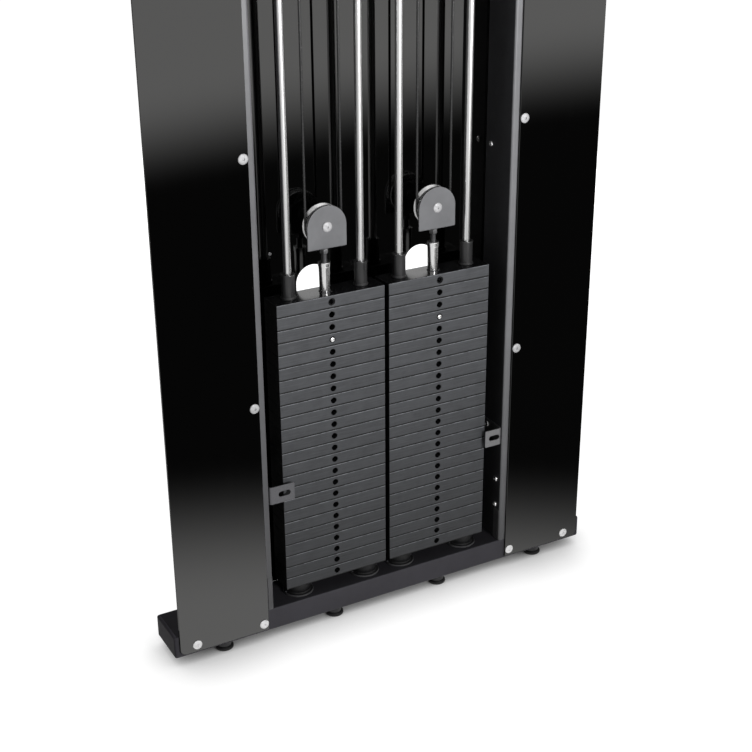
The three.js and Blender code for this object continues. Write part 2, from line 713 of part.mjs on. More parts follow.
// An angle bracket on the post's inner wall, whose slotted face closes towards the middle of the opening
function makeCoverBracket(side, sign) {
  const reach = bracketReaches[side];
  const wallX = postInnerX - fitGap;
  const at = (inward) => sign * (wallX - inward);
  const [frontY, backY] = [frameFrontY, frameFrontY + bracketFlange];
  const [z0, z1] = [bracketCentreZ - bracketHeight / 2, bracketCentreZ + bracketHeight / 2];
  const profile = new THREE.Shape();
  profile.moveTo(at(bracketBendRadius), frontY);
  profile.lineTo(at(reach), frontY);
  profile.lineTo(at(reach), frontY + bracketWall);
  profile.lineTo(at(bracketWall), frontY + bracketWall);
  profile.lineTo(at(bracketWall), backY);
  profile.lineTo(at(0), backY);
  profile.lineTo(at(0), frontY + bracketBendRadius);
  profile.quadraticCurveTo(at(0), frontY, at(bracketBendRadius), frontY);
  const slotEnds = [at(reach - bracketSlotEdge), at(reach - bracketSlotEdge - bracketSlotLength)];
  const halfSlot = bracketSlotHeight / 2;
  const slot = roundedRectangle(Math.min(...slotEnds), Math.max(...slotEnds), bracketCentreZ - halfSlot,
    bracketCentreZ + halfSlot, halfSlot * 0.999);
  const boltY = backY - bracketBoltInset;
  const halfHole = bracketWall / 2 + cutOverrun;
  const boltHole = layAlongX(pillar(bracketBoltHoleRadius, 0, 0, -halfHole, halfHole, smallHoleSides));
  const body = solid(raised(profile, z0, z1, arcSteps / 2))
    .subtract(solid(facing(slot, frontY - cutOverrun, frontY + bracketWall + cutOverrun, cornerSteps)))
    .subtract(solid(boltHole.translate(at(bracketWall / 2), boltY, bracketCentreZ + bracketBoltRise)));
  add(`${side}_cover_bracket`, body, bracketSteel);
}

function makeStack(side, sign) {
  const centreX = sign * stackSpacing / 2;
  makePlates(side, centreX);
  makeSelectorStem(side, centreX);
  makeSelectorPin(side, centreX);
  makeRodSleeves(side, centreX, sign);
  makeCoupling(side, centreX);
  makeYoke(side, centreX);
  makeLiftWheel(side, centreX);
  makeStrands(side, sign);
  makeTopWheel(side, sign);
  makeCableEnd(side, sign);
}

makeBase();
makeTopChannel();
makePosts();
makeFrontPanels();
makeBackPanel();
makeFeet();
makeRodsAndBumpers();
for (const [side, sign] of sides) {
  makeCoverBracket(side, sign);
  makeStack(side, sign);
}

// The origin lies at the middle of the footprint, half way from the cable ends at the front to the back.
const footprint = new THREE.Box3().setFromObject(tower);
tower.position.y = -(footprint.min.y + footprint.max.y) / 2;

export default tower;
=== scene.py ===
# %% [markdown]
# # Dressing a wall pulley weight stack tower
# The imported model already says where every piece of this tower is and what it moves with.
# This lesson builds the pieces again with the detail that a photograph shows, such as folded edges, drilled plates,
# wire rope and paint, and hangs each one on the body that carries it. The frame is loaded first and never changed.

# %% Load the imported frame
import math

import bmesh
import bpy
from mathutils import Matrix, Vector
from mathutils.geometry import tessellate_polygon


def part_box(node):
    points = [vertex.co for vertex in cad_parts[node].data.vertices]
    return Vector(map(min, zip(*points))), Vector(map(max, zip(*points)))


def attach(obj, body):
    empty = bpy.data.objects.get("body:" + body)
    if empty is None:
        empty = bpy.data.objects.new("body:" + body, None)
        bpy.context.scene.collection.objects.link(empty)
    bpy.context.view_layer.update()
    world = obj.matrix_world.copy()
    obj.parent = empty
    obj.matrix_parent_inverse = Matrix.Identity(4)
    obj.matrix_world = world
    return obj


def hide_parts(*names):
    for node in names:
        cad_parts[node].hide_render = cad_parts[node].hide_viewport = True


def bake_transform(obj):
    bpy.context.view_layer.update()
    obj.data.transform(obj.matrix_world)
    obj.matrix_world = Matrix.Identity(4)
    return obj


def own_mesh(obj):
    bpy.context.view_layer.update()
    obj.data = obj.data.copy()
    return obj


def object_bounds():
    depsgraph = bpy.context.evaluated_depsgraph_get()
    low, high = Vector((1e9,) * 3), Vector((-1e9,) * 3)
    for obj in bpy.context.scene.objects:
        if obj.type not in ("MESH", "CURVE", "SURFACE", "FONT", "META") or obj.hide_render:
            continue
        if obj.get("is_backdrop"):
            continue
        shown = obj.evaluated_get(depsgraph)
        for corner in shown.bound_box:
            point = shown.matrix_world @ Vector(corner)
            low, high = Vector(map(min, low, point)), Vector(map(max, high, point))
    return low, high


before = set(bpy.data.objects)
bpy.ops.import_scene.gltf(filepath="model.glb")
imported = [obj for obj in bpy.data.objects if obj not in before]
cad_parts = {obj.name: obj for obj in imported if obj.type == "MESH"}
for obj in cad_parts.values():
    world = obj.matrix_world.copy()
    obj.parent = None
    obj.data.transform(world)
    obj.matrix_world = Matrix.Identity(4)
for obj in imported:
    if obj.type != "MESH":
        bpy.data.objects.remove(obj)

cad_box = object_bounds()
print("nodes:", len(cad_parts))

# %% [markdown]
# ## Workshop measures
# A metalworker thinks in millimetres from a few fixed faces: across from the middle of the tower, back from the front
# face of the front panels, and up from the floor. Blender wants metres. One small function turns the first into the
# second, and another asks the frame how far a CAD node reaches, so that no size is typed twice.

# %% Millimetres on the bench, metres in the frame
MM = 0.001
PANEL_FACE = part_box("left_front_panel")[0][1]
SIDES = {"left": -1, "right": 1}
UP, FRONT, BACK, ACROSS = (0, 0, 1), (0, -1, 0), (0, 1, 0), (1, 0, 0)


def in_frame(x, y, z):
    return Vector((x * MM, PANEL_FACE + y * MM, z * MM))


def reach(node):
    low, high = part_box(node)
    across = (low[0] / MM, high[0] / MM)
    back = ((low[1] - PANEL_FACE) / MM, (high[1] - PANEL_FACE) / MM)
    return across, back, (low[2] / MM, high[2] / MM)


def middle(span):
    return (span[0] + span[1]) / 2


def centre(node):
    return tuple(middle(span) for span in reach(node))


TOWER_HEIGHT = reach("top_channel")[2][1]
print("tower height in mm:", round(TOWER_HEIGHT, 1))

# %% [markdown]
# ## The camera
# The photograph was taken from the front left, from above, with the horizon a touch off level. Fitting the tower's
# known edges to the picture gave the place and the lens. The camera's own axes are built from its heading, its
# downward tilt and that small roll, because a rotation matrix is easier to check than three angles.

# %% Stand the camera where the photographer stood
CAMERA_PLACE = Vector((-1.2248, -2.19415, 1.6256))
HEADING, TILT, ROLL = math.radians(28.778), math.radians(24.0), math.radians(-0.413)
SENSOR_MM = 36.0
FOCAL_SHARE = 1401.2 / 752

ahead = Vector((math.sin(HEADING) * math.cos(TILT), math.cos(HEADING) * math.cos(TILT), -math.sin(TILT)))
level_right = ahead.cross(Vector(UP)).normalized()
level_up = level_right.cross(ahead)
camera_right = level_right * math.cos(ROLL) + level_up * math.sin(ROLL)
camera_up = level_up * math.cos(ROLL) - level_right * math.sin(ROLL)

lens = bpy.data.cameras.new("portrait_lens")
lens.sensor_fit = "HORIZONTAL"
lens.sensor_width = SENSOR_MM
lens.lens = FOCAL_SHARE * SENSOR_MM
lens.clip_end = 60
camera = bpy.data.objects.new("portrait_camera", lens)
axes = Matrix((camera_right, camera_up, -ahead)).transposed().to_4x4()
camera.matrix_world = Matrix.Translation(CAMERA_PLACE) @ axes
bpy.context.scene.collection.objects.link(camera)
bpy.context.scene.camera = camera
bpy.context.scene.view_settings.view_transform = "Standard"
print("lens in mm:", round(lens.lens, 1))

# %% [markdown]
# ## Materials from nodes
# Every finish here starts the same way: a principled shader, and a texture position that stays with the piece. A
# short helper adds a node and wires it, and two more do sums and stretch one range of values over another. Position
# comes in metres, so a noise scale of 800 makes grains of about a millimetre.

# %% Helpers that add and wire one node
def wire(tree, kind, settings=None, **inputs):
    made = tree.nodes.new(kind)
    for name, value in (settings or {}).items():
        setattr(made, name, value)
    for name, value in inputs.items():
        socket = made.inputs[int(name[1:])] if name[0] == "_" else made.inputs[name.replace("_", " ")]
        if isinstance(value, bpy.types.NodeSocket):
            tree.links.new(value, socket)
        else:
            socket.default_value = value
    return made


def sums(tree, kind, a, b=0.0, c=0.0):
    return wire(tree, "ShaderNodeMath", {"operation": kind}, _0=a, _1=b, _2=c).outputs[0]


def spread(tree, value, low, high, to_low=0.0, to_high=1.0, curve="LINEAR"):
    return wire(tree, "ShaderNodeMapRange", {"interpolation_type": curve}, Value=value, From_Min=low, From_Max=high,
                To_Min=to_low, To_Max=to_high).outputs[0]


# %% [markdown]
# ## Floor, sky and lamps
# The photograph is a studio shot on white, lit from low in front, so the front faces glow while the upward faces
# stay dark. Round the feet the white floor darkens a little. It could be lit like a real floor, but a white that
# glows, and loses its glow where something stands close over it, gives the same picture with less noise.
#
# Glossy black sheet is only as interesting as what it mirrors. In the picture it mirrors bright floor near the
# tower and far away, with a dark band between. The sky is therefore painted twice, by direction: once in bands for
# mirror rays, and once as a plain soft light for everything else. The bands' limits are in degrees of height or of
# heading.
#
# One soft lamp stands in front, a weak one hangs above, and one stands behind for the views of the back. A small
# lamp behind the windows lights only the two top plates, which shine where they face the windows. The gloss sheets
# are left out of the front lamp's light, for they would show it as a white disc.

# %% A pale floor
HALF_FLOOR = 14.0
SHADE_REACH = 0.14
floor_mesh = bpy.data.meshes.new("studio_floor")
corners = [(HALF_FLOOR * x, HALF_FLOOR * y, 0) for x, y in ((-1, -1), (1, -1), (1, 1), (-1, 1))]
floor_mesh.from_pydata(corners, [], [(0, 1, 2, 3)])
studio_floor = bpy.data.objects.new("studio_floor", floor_mesh)
bpy.context.scene.collection.objects.link(studio_floor)
studio_floor.visible_glossy = False
studio_floor.visible_diffuse = False
studio_floor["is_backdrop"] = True

pale_floor = bpy.data.materials.new("pale_floor")
pale_floor.use_nodes = True
floor_shader = pale_floor.node_tree.nodes["Principled BSDF"]
floor_shader.inputs["Base Color"].default_value = (0.5, 0.5, 0.5, 1)
floor_shader.inputs["Roughness"].default_value = 0.9
floor_shader.inputs["Specular IOR Level"].default_value = 0.1
floor_shader.inputs["Emission Color"].default_value = (1, 1, 1, 1)
# The glow follows an occlusion test, so the darker floor round the tower and its feet is a painted contact shadow.
openness = wire(pale_floor.node_tree, "ShaderNodeAmbientOcclusion", {"samples": 12}, Distance=SHADE_REACH)
glow = spread(pale_floor.node_tree, openness.outputs["AO"], 0.08, 0.96)
pale_floor.node_tree.links.new(glow, floor_shader.inputs["Emission Strength"])
floor_mesh.materials.append(pale_floor)
print("floor across in m:", 2 * HALF_FLOOR)

# %% The sky: soft light for paint, a banded studio for mirrors
world = bpy.data.worlds.new("studio")
world.use_nodes = True
bpy.context.scene.world = world
sky = world.node_tree
sky.nodes.clear()
DEGREES = 180 / math.pi


def step_between(value, start, end):
    return spread(sky, value, start, end, curve="SMOOTHERSTEP")


def sky_mix(share, first, second):
    return wire(sky, "ShaderNodeMix", {"data_type": "FLOAT"}, Factor=share, A=first, B=second).outputs[0]


direction = wire(sky, "ShaderNodeSeparateXYZ", _0=wire(sky, "ShaderNodeTexCoord").outputs["Generated"])
elevation = sums(sky, "MULTIPLY", sums(sky, "ARCSINE", direction.outputs["Z"]), DEGREES)
frontward = sums(sky, "MULTIPLY", direction.outputs["Y"], -1.0)
azimuth = sums(sky, "MULTIPLY", sums(sky, "ARCTAN2", direction.outputs["X"], frontward), DEGREES)
leaning = sums(sky, "MULTIPLY_ADD", azimuth, -0.155, elevation)

near_floor = step_between(elevation, -26.9, -33.7)
far_floor = step_between(leaning, -19.6, -14.9)
beside = sums(sky, "MAXIMUM", step_between(azimuth, 6.0, -6.0), step_between(azimuth, 62.0, 80.0))
lit = sums(sky, "MAXIMUM", near_floor, far_floor)
under_roof = sums(sky, "MAXIMUM", step_between(elevation, 18.0, 10.0), step_between(elevation, 32.0, 48.0))
floor_light = sums(sky, "MULTIPLY_ADD", sums(sky, "MULTIPLY", lit, under_roof), 1.15, 0.022)
behind = step_between(frontward, 0.1, -0.4)
straight_behind = step_between(frontward, -0.6, -0.95)
rear_floor = sums(sky, "MULTIPLY", straight_behind, step_between(elevation, -3.0, -27.0))
side_light = sums(sky, "ADD", sums(sky, "MULTIPLY_ADD", behind, -0.54, 0.68), sums(sky, "MULTIPLY", rear_floor, 0.5))
mirror_light = sky_mix(beside, floor_light, side_light)
soft_light = sums(sky, "MULTIPLY_ADD", straight_behind, 0.3, 0.04)

ray = wire(sky, "ShaderNodeLightPath").outputs
strength = sky_mix(ray["Is Glossy Ray"], sky_mix(ray["Is Camera Ray"], soft_light, 0.9), mirror_light)
background = wire(sky, "ShaderNodeBackground", Color=(1, 0.995, 0.98, 1), Strength=strength)
wire(sky, "ShaderNodeOutputWorld", Surface=background.outputs[0])
print("sky nodes:", len(sky.nodes))


# %% Lamps in front, above and behind
def stand_lamp(name, kind, place, aim, watts, mirrored=True):
    lamp = bpy.data.lights.new(name, kind)
    lamp.energy = watts
    if kind == "AREA":
        lamp.shape, lamp.size = "DISK", 1.0
    holder = bpy.data.objects.new(name, lamp)
    turn = (Vector(aim) - Vector(place)).to_track_quat("-Z", "Y")
    holder.matrix_world = Matrix.Translation(place) @ turn.to_matrix().to_4x4()
    holder.visible_camera = False
    holder.visible_glossy = mirrored
    bpy.context.scene.collection.objects.link(holder)
    return holder


def users_of(holder):
    users = bpy.data.collections.new(holder.name.replace("lamp", "light_users"))
    holder.light_linking.receiver_collection = users
    return users


front_lamp = stand_lamp("front_lamp", "SPOT", (0.45, -3.0, 1.25), (0, 0, 1.45), 340)
front_lamp.data.shadow_soft_size, front_lamp.data.spot_size, front_lamp.data.spot_blend = 0.35, math.radians(63), 1.0
front_light_users = users_of(front_lamp)
ceiling_light = stand_lamp("ceiling_light", "SUN", (0, 0.1, 4), (0, 0, 0), 0.15, mirrored=False)
ceiling_light.data.angle = math.radians(7)
rear_lamp = stand_lamp("rear_lamp", "AREA", (1.8, 3.4, 0.6), (0, 0, 1.0), 80, mirrored=False)
window_lamp = stand_lamp("window_lamp", "AREA", (0.7, 1.36, 1.25), (0, 0.02, 0.7), 3.0)
window_light_users = users_of(window_lamp)
print("lamps:", front_lamp.name, ceiling_light.name, rear_lamp.name, window_lamp.name)

# %% [markdown]
# ## From a mesh on the bench to a piece on the tower
# Pieces are drawn in millimetres with bmesh. Hanging one turns it into metres, smooths its faces except at real
# corners, weights its normals so that broad flats stay flat beside rounded edges, hangs it on the body that carries
# it, gives it its finish and hides the CAD nodes it stands for. A second finish can go on some of its faces.

# %% Hang a piece on its body
SHARP_CORNER = math.radians(35)
made_pieces = []


def to_object(name, bench_mesh, finish=None):
    bmesh.ops.recalc_face_normals(bench_mesh, faces=bench_mesh.faces)
    mesh = bpy.data.meshes.new(name)
    bench_mesh.to_mesh(mesh)
    bench_mesh.free()
    mesh.shade_smooth()
    mesh.set_sharp_from_angle(angle=SHARP_CORNER)
    if finish:
        mesh.materials.append(finish)
    piece = bpy.data.objects.new(name, mesh)
    bpy.context.scene.collection.objects.link(piece)
    return piece


def stood(bench_mesh, place):
    for vertex in bench_mesh.verts:
        vertex.co = Vector(place(*vertex.co))
    return bench_mesh


def hang(name, bench_mesh, finish, stands_for=(), body="cabinet"):
    piece = to_object(name, stood(bench_mesh, in_frame), finish)
    flats = piece.modifiers.new("flat_faces", "WEIGHTED_NORMAL")
    flats.keep_sharp = True
    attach(piece, body)
    if stands_for:
        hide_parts(*stands_for)
    made_pieces.append(name)
    return piece


def refinish(piece, finish, chosen):
    piece.data.materials.append(finish)
    for face in piece.data.polygons:
        face.material_index = int(chosen(face))


# %% [markdown]
# ## Drilling, turning and placing
# Most of this tower is either turned round an axis or cut from sheet. A turned form is a profile of radius and
# height swept round, which gives clean rings of faces. Holes through solid pieces are cut with a boolean, because a
# drill doesn't care which faces it meets.

# %% Turn, place and join meshes on the bench
def skinned(bench_mesh, rings, closed=False):
    for near, far in list(zip(rings, rings[1:])) + ([(rings[-1], rings[0])] if closed else []):
        sides = max(len(near), len(far))
        for i in range(sides):
            j = (i + 1) % sides
            ring = [near[i % len(near)], near[j % len(near)], far[j % len(far)], far[i % len(far)]]
            ring = list(dict.fromkeys(ring))
            if len(ring) > 2:
                bench_mesh.faces.new(ring)
    return bench_mesh


def ring_of(bench_mesh, points):
    return [bench_mesh.verts.new(point) for point in points]


def turns_of(sides):
    return [2 * math.pi * i / sides for i in range(sides)]


def turned(profile, sides=48, closed=False):
    bench_mesh = bmesh.new()
    rings = []
    for radius, height in profile:
        turns = turns_of(sides) if radius > 1e-6 else [0.0]
        rings.append(ring_of(bench_mesh, [(radius * math.cos(a), radius * math.sin(a), height) for a in turns]))
    return skinned(bench_mesh, rings, closed)


def placed(bench_mesh, place, axis=UP):
    turn = Vector(UP).rotation_difference(Vector(axis)).to_matrix().to_4x4()
    bench_mesh.transform(Matrix.Translation(place) @ turn)
    return bench_mesh


def upright(node, profile, sides=48, closed=False):
    x, y, _ = centre(node)
    return placed(turned(profile, sides, closed), (x, y, 0))


def joined(parts):
    whole = bmesh.new()
    for part in parts:
        carrier = bpy.data.meshes.new("carrier")
        part.to_mesh(carrier)
        whole.from_mesh(carrier)
        bpy.data.meshes.remove(carrier)
        part.free()
    return whole


def drilled(bench_mesh, cutters):
    work, tool = to_object("work", bench_mesh), to_object("tool", joined(cutters))
    cut = work.modifiers.new("cut", "BOOLEAN")
    cut.operation, cut.solver, cut.object = "DIFFERENCE", "EXACT", tool
    result = bmesh.new()
    result.from_object(work, bpy.context.evaluated_depsgraph_get())
    for used in (work, tool):
        mesh = used.data
        bpy.data.objects.remove(used)
        bpy.data.meshes.remove(mesh)
    bmesh.ops.remove_doubles(result, verts=result.verts, dist=0.001)
    return result


def drill_bit(radius, start, end, sides=32):
    start, end = Vector(start), Vector(end)
    length = (end - start).length
    return placed(turned([(0, 0), (radius, 0), (radius, length), (0, length)], sides), start, end - start)


# %% [markdown]
# ## Cutting sheet
# Panels, plates, ears and brackets begin as flat sheet with a drawn outline and holes. The helper draws the outline
# at a few depths, pulled in slightly at both faces, so every edge has the small round that paint and light need.
# The two faces are filled by tessellation, which copes with any number of holes.

# %% Cut a sheet with rounded edges
def pulled_in(loop, amount):
    count = len(loop)
    moved = []
    for i, (u, v) in enumerate(loop):
        before, after = loop[i - 1], loop[(i + 1) % count]
        first = Vector((u - before[0], v - before[1])).normalized()
        second = Vector((after[0] - u, after[1] - v)).normalized()
        normals = Vector((-first.y, first.x)) + Vector((-second.y, second.x))
        scale = amount * 2 / max(normals.length_squared, 0.4)
        moved.append((u + normals.x * scale, v + normals.y * scale))
    return moved


def wound(loop, way):
    area = sum(a[0] * b[1] - b[0] * a[1] for a, b in zip(loop, loop[1:] + loop[:1]))
    return loop if area * way > 0 else loop[::-1]


def cut_sheet(outline, holes=(), thickness=3.0, edge=0.4, far_edge=None, steps=1):
    far_edge = edge if far_edge is None else far_edge
    loops = [wound(outline, 1)] + [wound(hole, -1) for hole in holes]
    quarter = [math.pi / 2 * i / steps for i in range(steps + 1)]
    levels = [(edge * (1 - math.sin(a)), edge * (1 - math.cos(a))) for a in quarter]
    levels += [(far_edge * (1 - math.sin(a)), thickness - far_edge * (1 - math.cos(a))) for a in reversed(quarter)]
    bench_mesh = bmesh.new()
    faces = []
    for inset, depth in levels:
        shapes = [pulled_in(loop, inset) for loop in loops]
        faces.append([ring_of(bench_mesh, [(u, v, depth) for u, v in shape]) for shape in shapes])
    for near, far in zip(faces, faces[1:]):
        for pair in zip(near, far):
            skinned(bench_mesh, pair)
    for level in (faces[0], faces[-1]):
        flat = [vertex for loop in level for vertex in loop]
        for triangle in tessellate_polygon([[vertex.co.copy() for vertex in loop] for loop in level]):
            bench_mesh.faces.new([flat[i] for i in triangle])
    return bench_mesh


def arc(u, v, radius, start, end, steps):
    turns = [math.radians(start + (end - start) * i / steps) for i in range(steps + 1)]
    return [(u + radius * math.cos(a), v + radius * math.sin(a)) for a in turns]


def round_hole(u, v, radius, sides=32):
    return arc(u, v, radius, 0, 360, sides)[:-1]


def rectangle(u0, u1, v0, v1):
    return [(u0, v0), (u1, v0), (u1, v1), (u0, v1)]


def rounded_rectangle(u0, u1, v0, v1, radius, steps=5):
    corners = rectangle(u0 + radius, u1 - radius, v0 + radius, v1 - radius)
    loop = []
    for i in range(4):
        loop += arc(*corners[(i + 1) % 4], radius, 90 * i - 90, 90 * i, steps)
    return loop


# %% [markdown]
# ## Folding sheet
# The posts, brackets and yoke straps are folded steel. The blank is cut flat first, holes and all, then everything
# past a fold line is wrapped round the fold's centre. A few cuts across the fold give the bend its curve. Length is
# kept along the middle of the sheet, just as in a press brake.

# %% Fold a flat blank
FOLD_CUTS = 6
RIGHT_ANGLE = math.pi / 2


def cut_across(bench_mesh, v):
    everything = bench_mesh.verts[:] + bench_mesh.edges[:] + bench_mesh.faces[:]
    bmesh.ops.bisect_plane(bench_mesh, geom=everything, plane_co=(0, v, 0), plane_no=(0, 1, 0), dist=1e-5)


def fold(bench_mesh, line, radius, thickness, other_end=False):
    if other_end:
        stood(bench_mesh, lambda u, v, w: (u, -v, w))
    neutral, bend_centre = radius + thickness / 2, thickness + radius
    length = neutral * RIGHT_ANGLE
    for i in range(FOLD_CUTS + 1):
        cut_across(bench_mesh, line + length * i / FOLD_CUTS)
    for vertex in bench_mesh.verts:
        _, v, w = vertex.co
        if v > line:
            turn = min((v - line) / neutral, RIGHT_ANGLE)
            rest = max(0.0, v - line - length)
            vertex.co.y = line + (bend_centre - w) * math.sin(turn) + rest * math.cos(turn)
            vertex.co.z = bend_centre - (bend_centre - w) * math.cos(turn) + rest * math.sin(turn)
    if other_end:
        stood(bench_mesh, lambda u, v, w: (u, -v, w))
    return bench_mesh


# %% [markdown]
# ## One recipe for every plain finish
# Paint, zinc, chrome, rubber and plastic differ in their numbers and hardly in their making. Each has two near tones
# in soft patches, a roughness that wanders with the same or another noise, and a fine grain as bump. A noise can be
# stretched, which turns grains into brush or draw lines. The mesh's own pointiness finds the edges that get rubbed.

# %% The recipe
def begin_finish(name):
    finish = bpy.data.materials.new(name)
    finish.use_nodes = True
    tree = finish.node_tree
    return finish, tree, tree.nodes["Principled BSDF"], wire(tree, "ShaderNodeTexCoord").outputs["Object"]


def noise(tree, where, scale, detail=3.0, roughness=0.5, stretch=None):
    if stretch:
        where = wire(tree, "ShaderNodeMapping", Vector=where, Scale=stretch).outputs[0]
    made = wire(tree, "ShaderNodeTexNoise", Vector=where, Scale=scale, Detail=detail, Roughness=roughness)
    return made.outputs["Fac"]


def shade(tone, factor=1.0):
    return tuple(c * factor for c in tone) + (1,)


def blended(tree, factor, first, second):
    return wire(tree, "ShaderNodeMix", {"data_type": "RGBA"}, _0=factor, _6=first, _7=second).outputs[2]


def dented(tree, shader, height, depth_mm, strength):
    bump = wire(tree, "ShaderNodeBump", Height=height, Distance=depth_mm * MM, Strength=strength)
    tree.links.new(bump.outputs[0], shader.inputs["Normal"])


def plain_finish(name, tones, patches, patch_range, rough, grain, relief, rough_noise=None, rough_range=(0.3, 0.7),
                 lighter_edges=None, **constants):
    finish, tree, shader, where = begin_finish(name)
    cloud = noise(tree, where, *patches)
    colour = blended(tree, spread(tree, cloud, *patch_range), *tones)
    if lighter_edges:
        pointed = wire(tree, "ShaderNodeNewGeometry").outputs["Pointiness"]
        colour = blended(tree, spread(tree, pointed, 0.52, 0.62, 0.0, 0.5), colour, shade(lighter_edges))
    tree.links.new(colour, shader.inputs["Base Color"])
    wander = noise(tree, where, *rough_noise) if rough_noise else cloud
    tree.links.new(spread(tree, wander, *rough_range, *rough), shader.inputs["Roughness"])
    for socket, value in constants.items():
        shader.inputs[socket.replace("_", " ")].default_value = value
    dented(tree, shader, noise(tree, where, *grain), *relief)
    return finish


# %% [markdown]
# ## Painted steel
# Powder coat has a fine orange-peel skin, a slightly uneven tone, and lighter rubbed edges. One mix serves the
# charcoal channels, the lighter posts and the yokes.

# %% Powder coat
def powder_coat(name, tone, lighter_edges, roughness, specular):
    return plain_finish(name, (shade(tone, 0.88), shade(tone, 1.1)), (13, 6, 0.6), (0.36, 0.64),
                        (roughness - 0.05, roughness + 0.05), (900, 2), (0.05, 0.35), rough_noise=(160, 2),
                        lighter_edges=lighter_edges, Specular_IOR_Level=specular)


charcoal_coat = powder_coat("charcoal_coat", (0.152, 0.145, 0.172), (0.21, 0.21, 0.22), 0.46, 0.1)
print("finish:", charcoal_coat.name)

# %% [markdown]
# ## Base and top channel
# Both are closed steel boxes, 95 mm deep and 48 mm high, with caps over their ends. The box is one hollow section
# cut to length and drilled for the rods on its inner face, with larger access holes on its outer face for the rod
# bolts. The caps are separate, with the well-rounded rim that shows past the right front panel. The base's top lies
# in the bay's shade, so its upward faces take a darker, duller coat: painted shade.

# %% Make the channels
CAP, SECTION_WALL, SECTION_HEIGHT, ACCESS_RADIUS = 5.5, 3.0, 48, 14
shaded_top_coat = powder_coat("shaded_top_coat", (0.065, 0.062, 0.073), (0.09, 0.09, 0.095), 0.5, 0.05)
rods = {name: reach(name + "_guide_rod") for name in ("left_outer", "left_inner", "right_inner", "right_outer")}
ROD_DEPTH = centre("left_outer_guide_rod")[1]
ROD_RADIUS = (rods["left_outer"][0][1] - rods["left_outer"][0][0]) / 2
BORE = ROD_RADIUS + 0.3


def make_channel(node, inner_face_is_top):
    across, back, high = reach(node)
    if not inner_face_is_top:
        high = (TOWER_HEIGHT - SECTION_HEIGHT, TOWER_HEIGHT)
    half, wall, z = across[1] - CAP, SECTION_WALL, middle(high)
    inner = rounded_rectangle(back[0] + wall, back[1] - wall, high[0] + wall, high[1] - wall, 1.5)
    tube = stood(cut_sheet(rounded_rectangle(*back, *high, 3.5), [inner], 2 * half, 0.3),
                 lambda u, v, w: (w - half, u, v))
    rod_face, access_face = (high[1] + 2, high[0] - 2) if inner_face_is_top else (high[0] - 2, high[1] + 2)
    cutters = []
    for x in (middle(rod[0]) for rod in rods.values()):
        cutters.append(drill_bit(BORE, (x, ROD_DEPTH, z), (x, ROD_DEPTH, rod_face)))
        cutters.append(drill_bit(ACCESS_RADIUS, (x, ROD_DEPTH, access_face), (x, ROD_DEPTH, z)))
    section = hang(node + "_section", drilled(tube, cutters), charcoal_coat, [node])
    # The base's upward faces take the darker coat, which paints the bay's shade on them.
    refinish(section, shaded_top_coat, lambda face: inner_face_is_top and face.normal.z > 0.8)
    caps = []
    for sign in SIDES.values():
        cap = cut_sheet(rounded_rectangle(*back, *high, 4), [], CAP, 0.3, 4.2, 5)
        caps.append(stood(cap, lambda u, v, w: (sign * (half + w), u, v)))
    hang(node + "_caps", joined(caps), charcoal_coat, [node])


make_channel("base_channel", True)
make_channel("top_channel", False)
print("channels:", made_pieces)

# %% [markdown]
# ## Posts
# Each post is a C folded from 3 mm sheet. Its web closes the side of the bay, and a narrow strip of its front flange
# shows beside the front panel as a light grey line down the whole tower. Near the floor a thin shoe wraps that
# corner where the post stands on the base. The right line is lit more than the left one and the webs lie in shade,
# so the right post's coat is a lighter copy of the left one's, as painted light, and the webs take a darker third
# coat, as painted shade.

# %% Make the posts and their shoes
POST_WALL, POST_BEND = 3.0, 2.0
SHOE_HEIGHT, SHOE_LENGTH, SHOE_WALL, SHOE_LINE, SHOE_BEND = 72, 33, 0.6, 18, 5.2
# The right coat is a lighter copy of the left one: painted light. The web coat is darker: painted shade.
post_coats_by_light = {
    "left": powder_coat("left_post_coat", (0.155, 0.155, 0.165), (0.26, 0.26, 0.27), 0.36, 0.5),
    "right": powder_coat("right_post_coat", (0.25, 0.25, 0.262), (0.33, 0.33, 0.34), 0.36, 0.5),
}
shaded_web_coat = powder_coat("shaded_web_coat", (0.1, 0.1, 0.108), (0.14, 0.14, 0.15), 0.45, 0.15)


def faces_sideways(face):
    return abs(face.normal.x) > 0.8


for side, sign in SIDES.items():
    across, back, high = reach(side + "_post")
    inner_x, middle_y = sign * min(abs(across[0]), abs(across[1])), middle(back)
    web = (back[1] - back[0]) / 2 - POST_WALL - POST_BEND
    flange = across[1] - across[0] - POST_WALL - POST_BEND
    half = web + (POST_BEND + POST_WALL / 2) * math.pi / 2 + flange
    blank = cut_sheet(rectangle(*high, -half, half), [], POST_WALL, 0.3)
    for other_end in (False, True):
        fold(blank, web, POST_BEND, POST_WALL, other_end)
    shape = stood(blank, lambda u, v, w: (inner_x + sign * w, middle_y + v, u))
    folded = hang(side + "_post_folded", shape, post_coats_by_light[side], [side + "_post"])
    # The webs take the darker coat: painted shade.
    refinish(folded, shaded_web_coat, faces_sideways)
    blank = cut_sheet(rectangle(high[0], high[0] + SHOE_HEIGHT, 0, SHOE_LENGTH), [], SHOE_WALL, 0.3)
    fold(blank, SHOE_LINE, SHOE_BEND, SHOE_WALL)
    shoe = stood(blank, lambda u, v, w: (inner_x - sign * SHOE_WALL + sign * w, back[0] + 22.6 - v, u))
    hang(side + "_post_shoe", shoe, post_coats_by_light[side])
print("posts reach up to", round(high[1], 1))

# %% [markdown]
# ## Black gloss sheet
# The front panels and the back panel are glossy black sheet. Almost all of what the camera sees is mirror image, so
# the colour is close to black and the shader's index of refraction is raised until the reflection has the strength
# seen in the photograph. Faint wiping marks and a trace of dust keep it from looking computed. The cut edges bend
# light less, so they stay dark beside the posts.

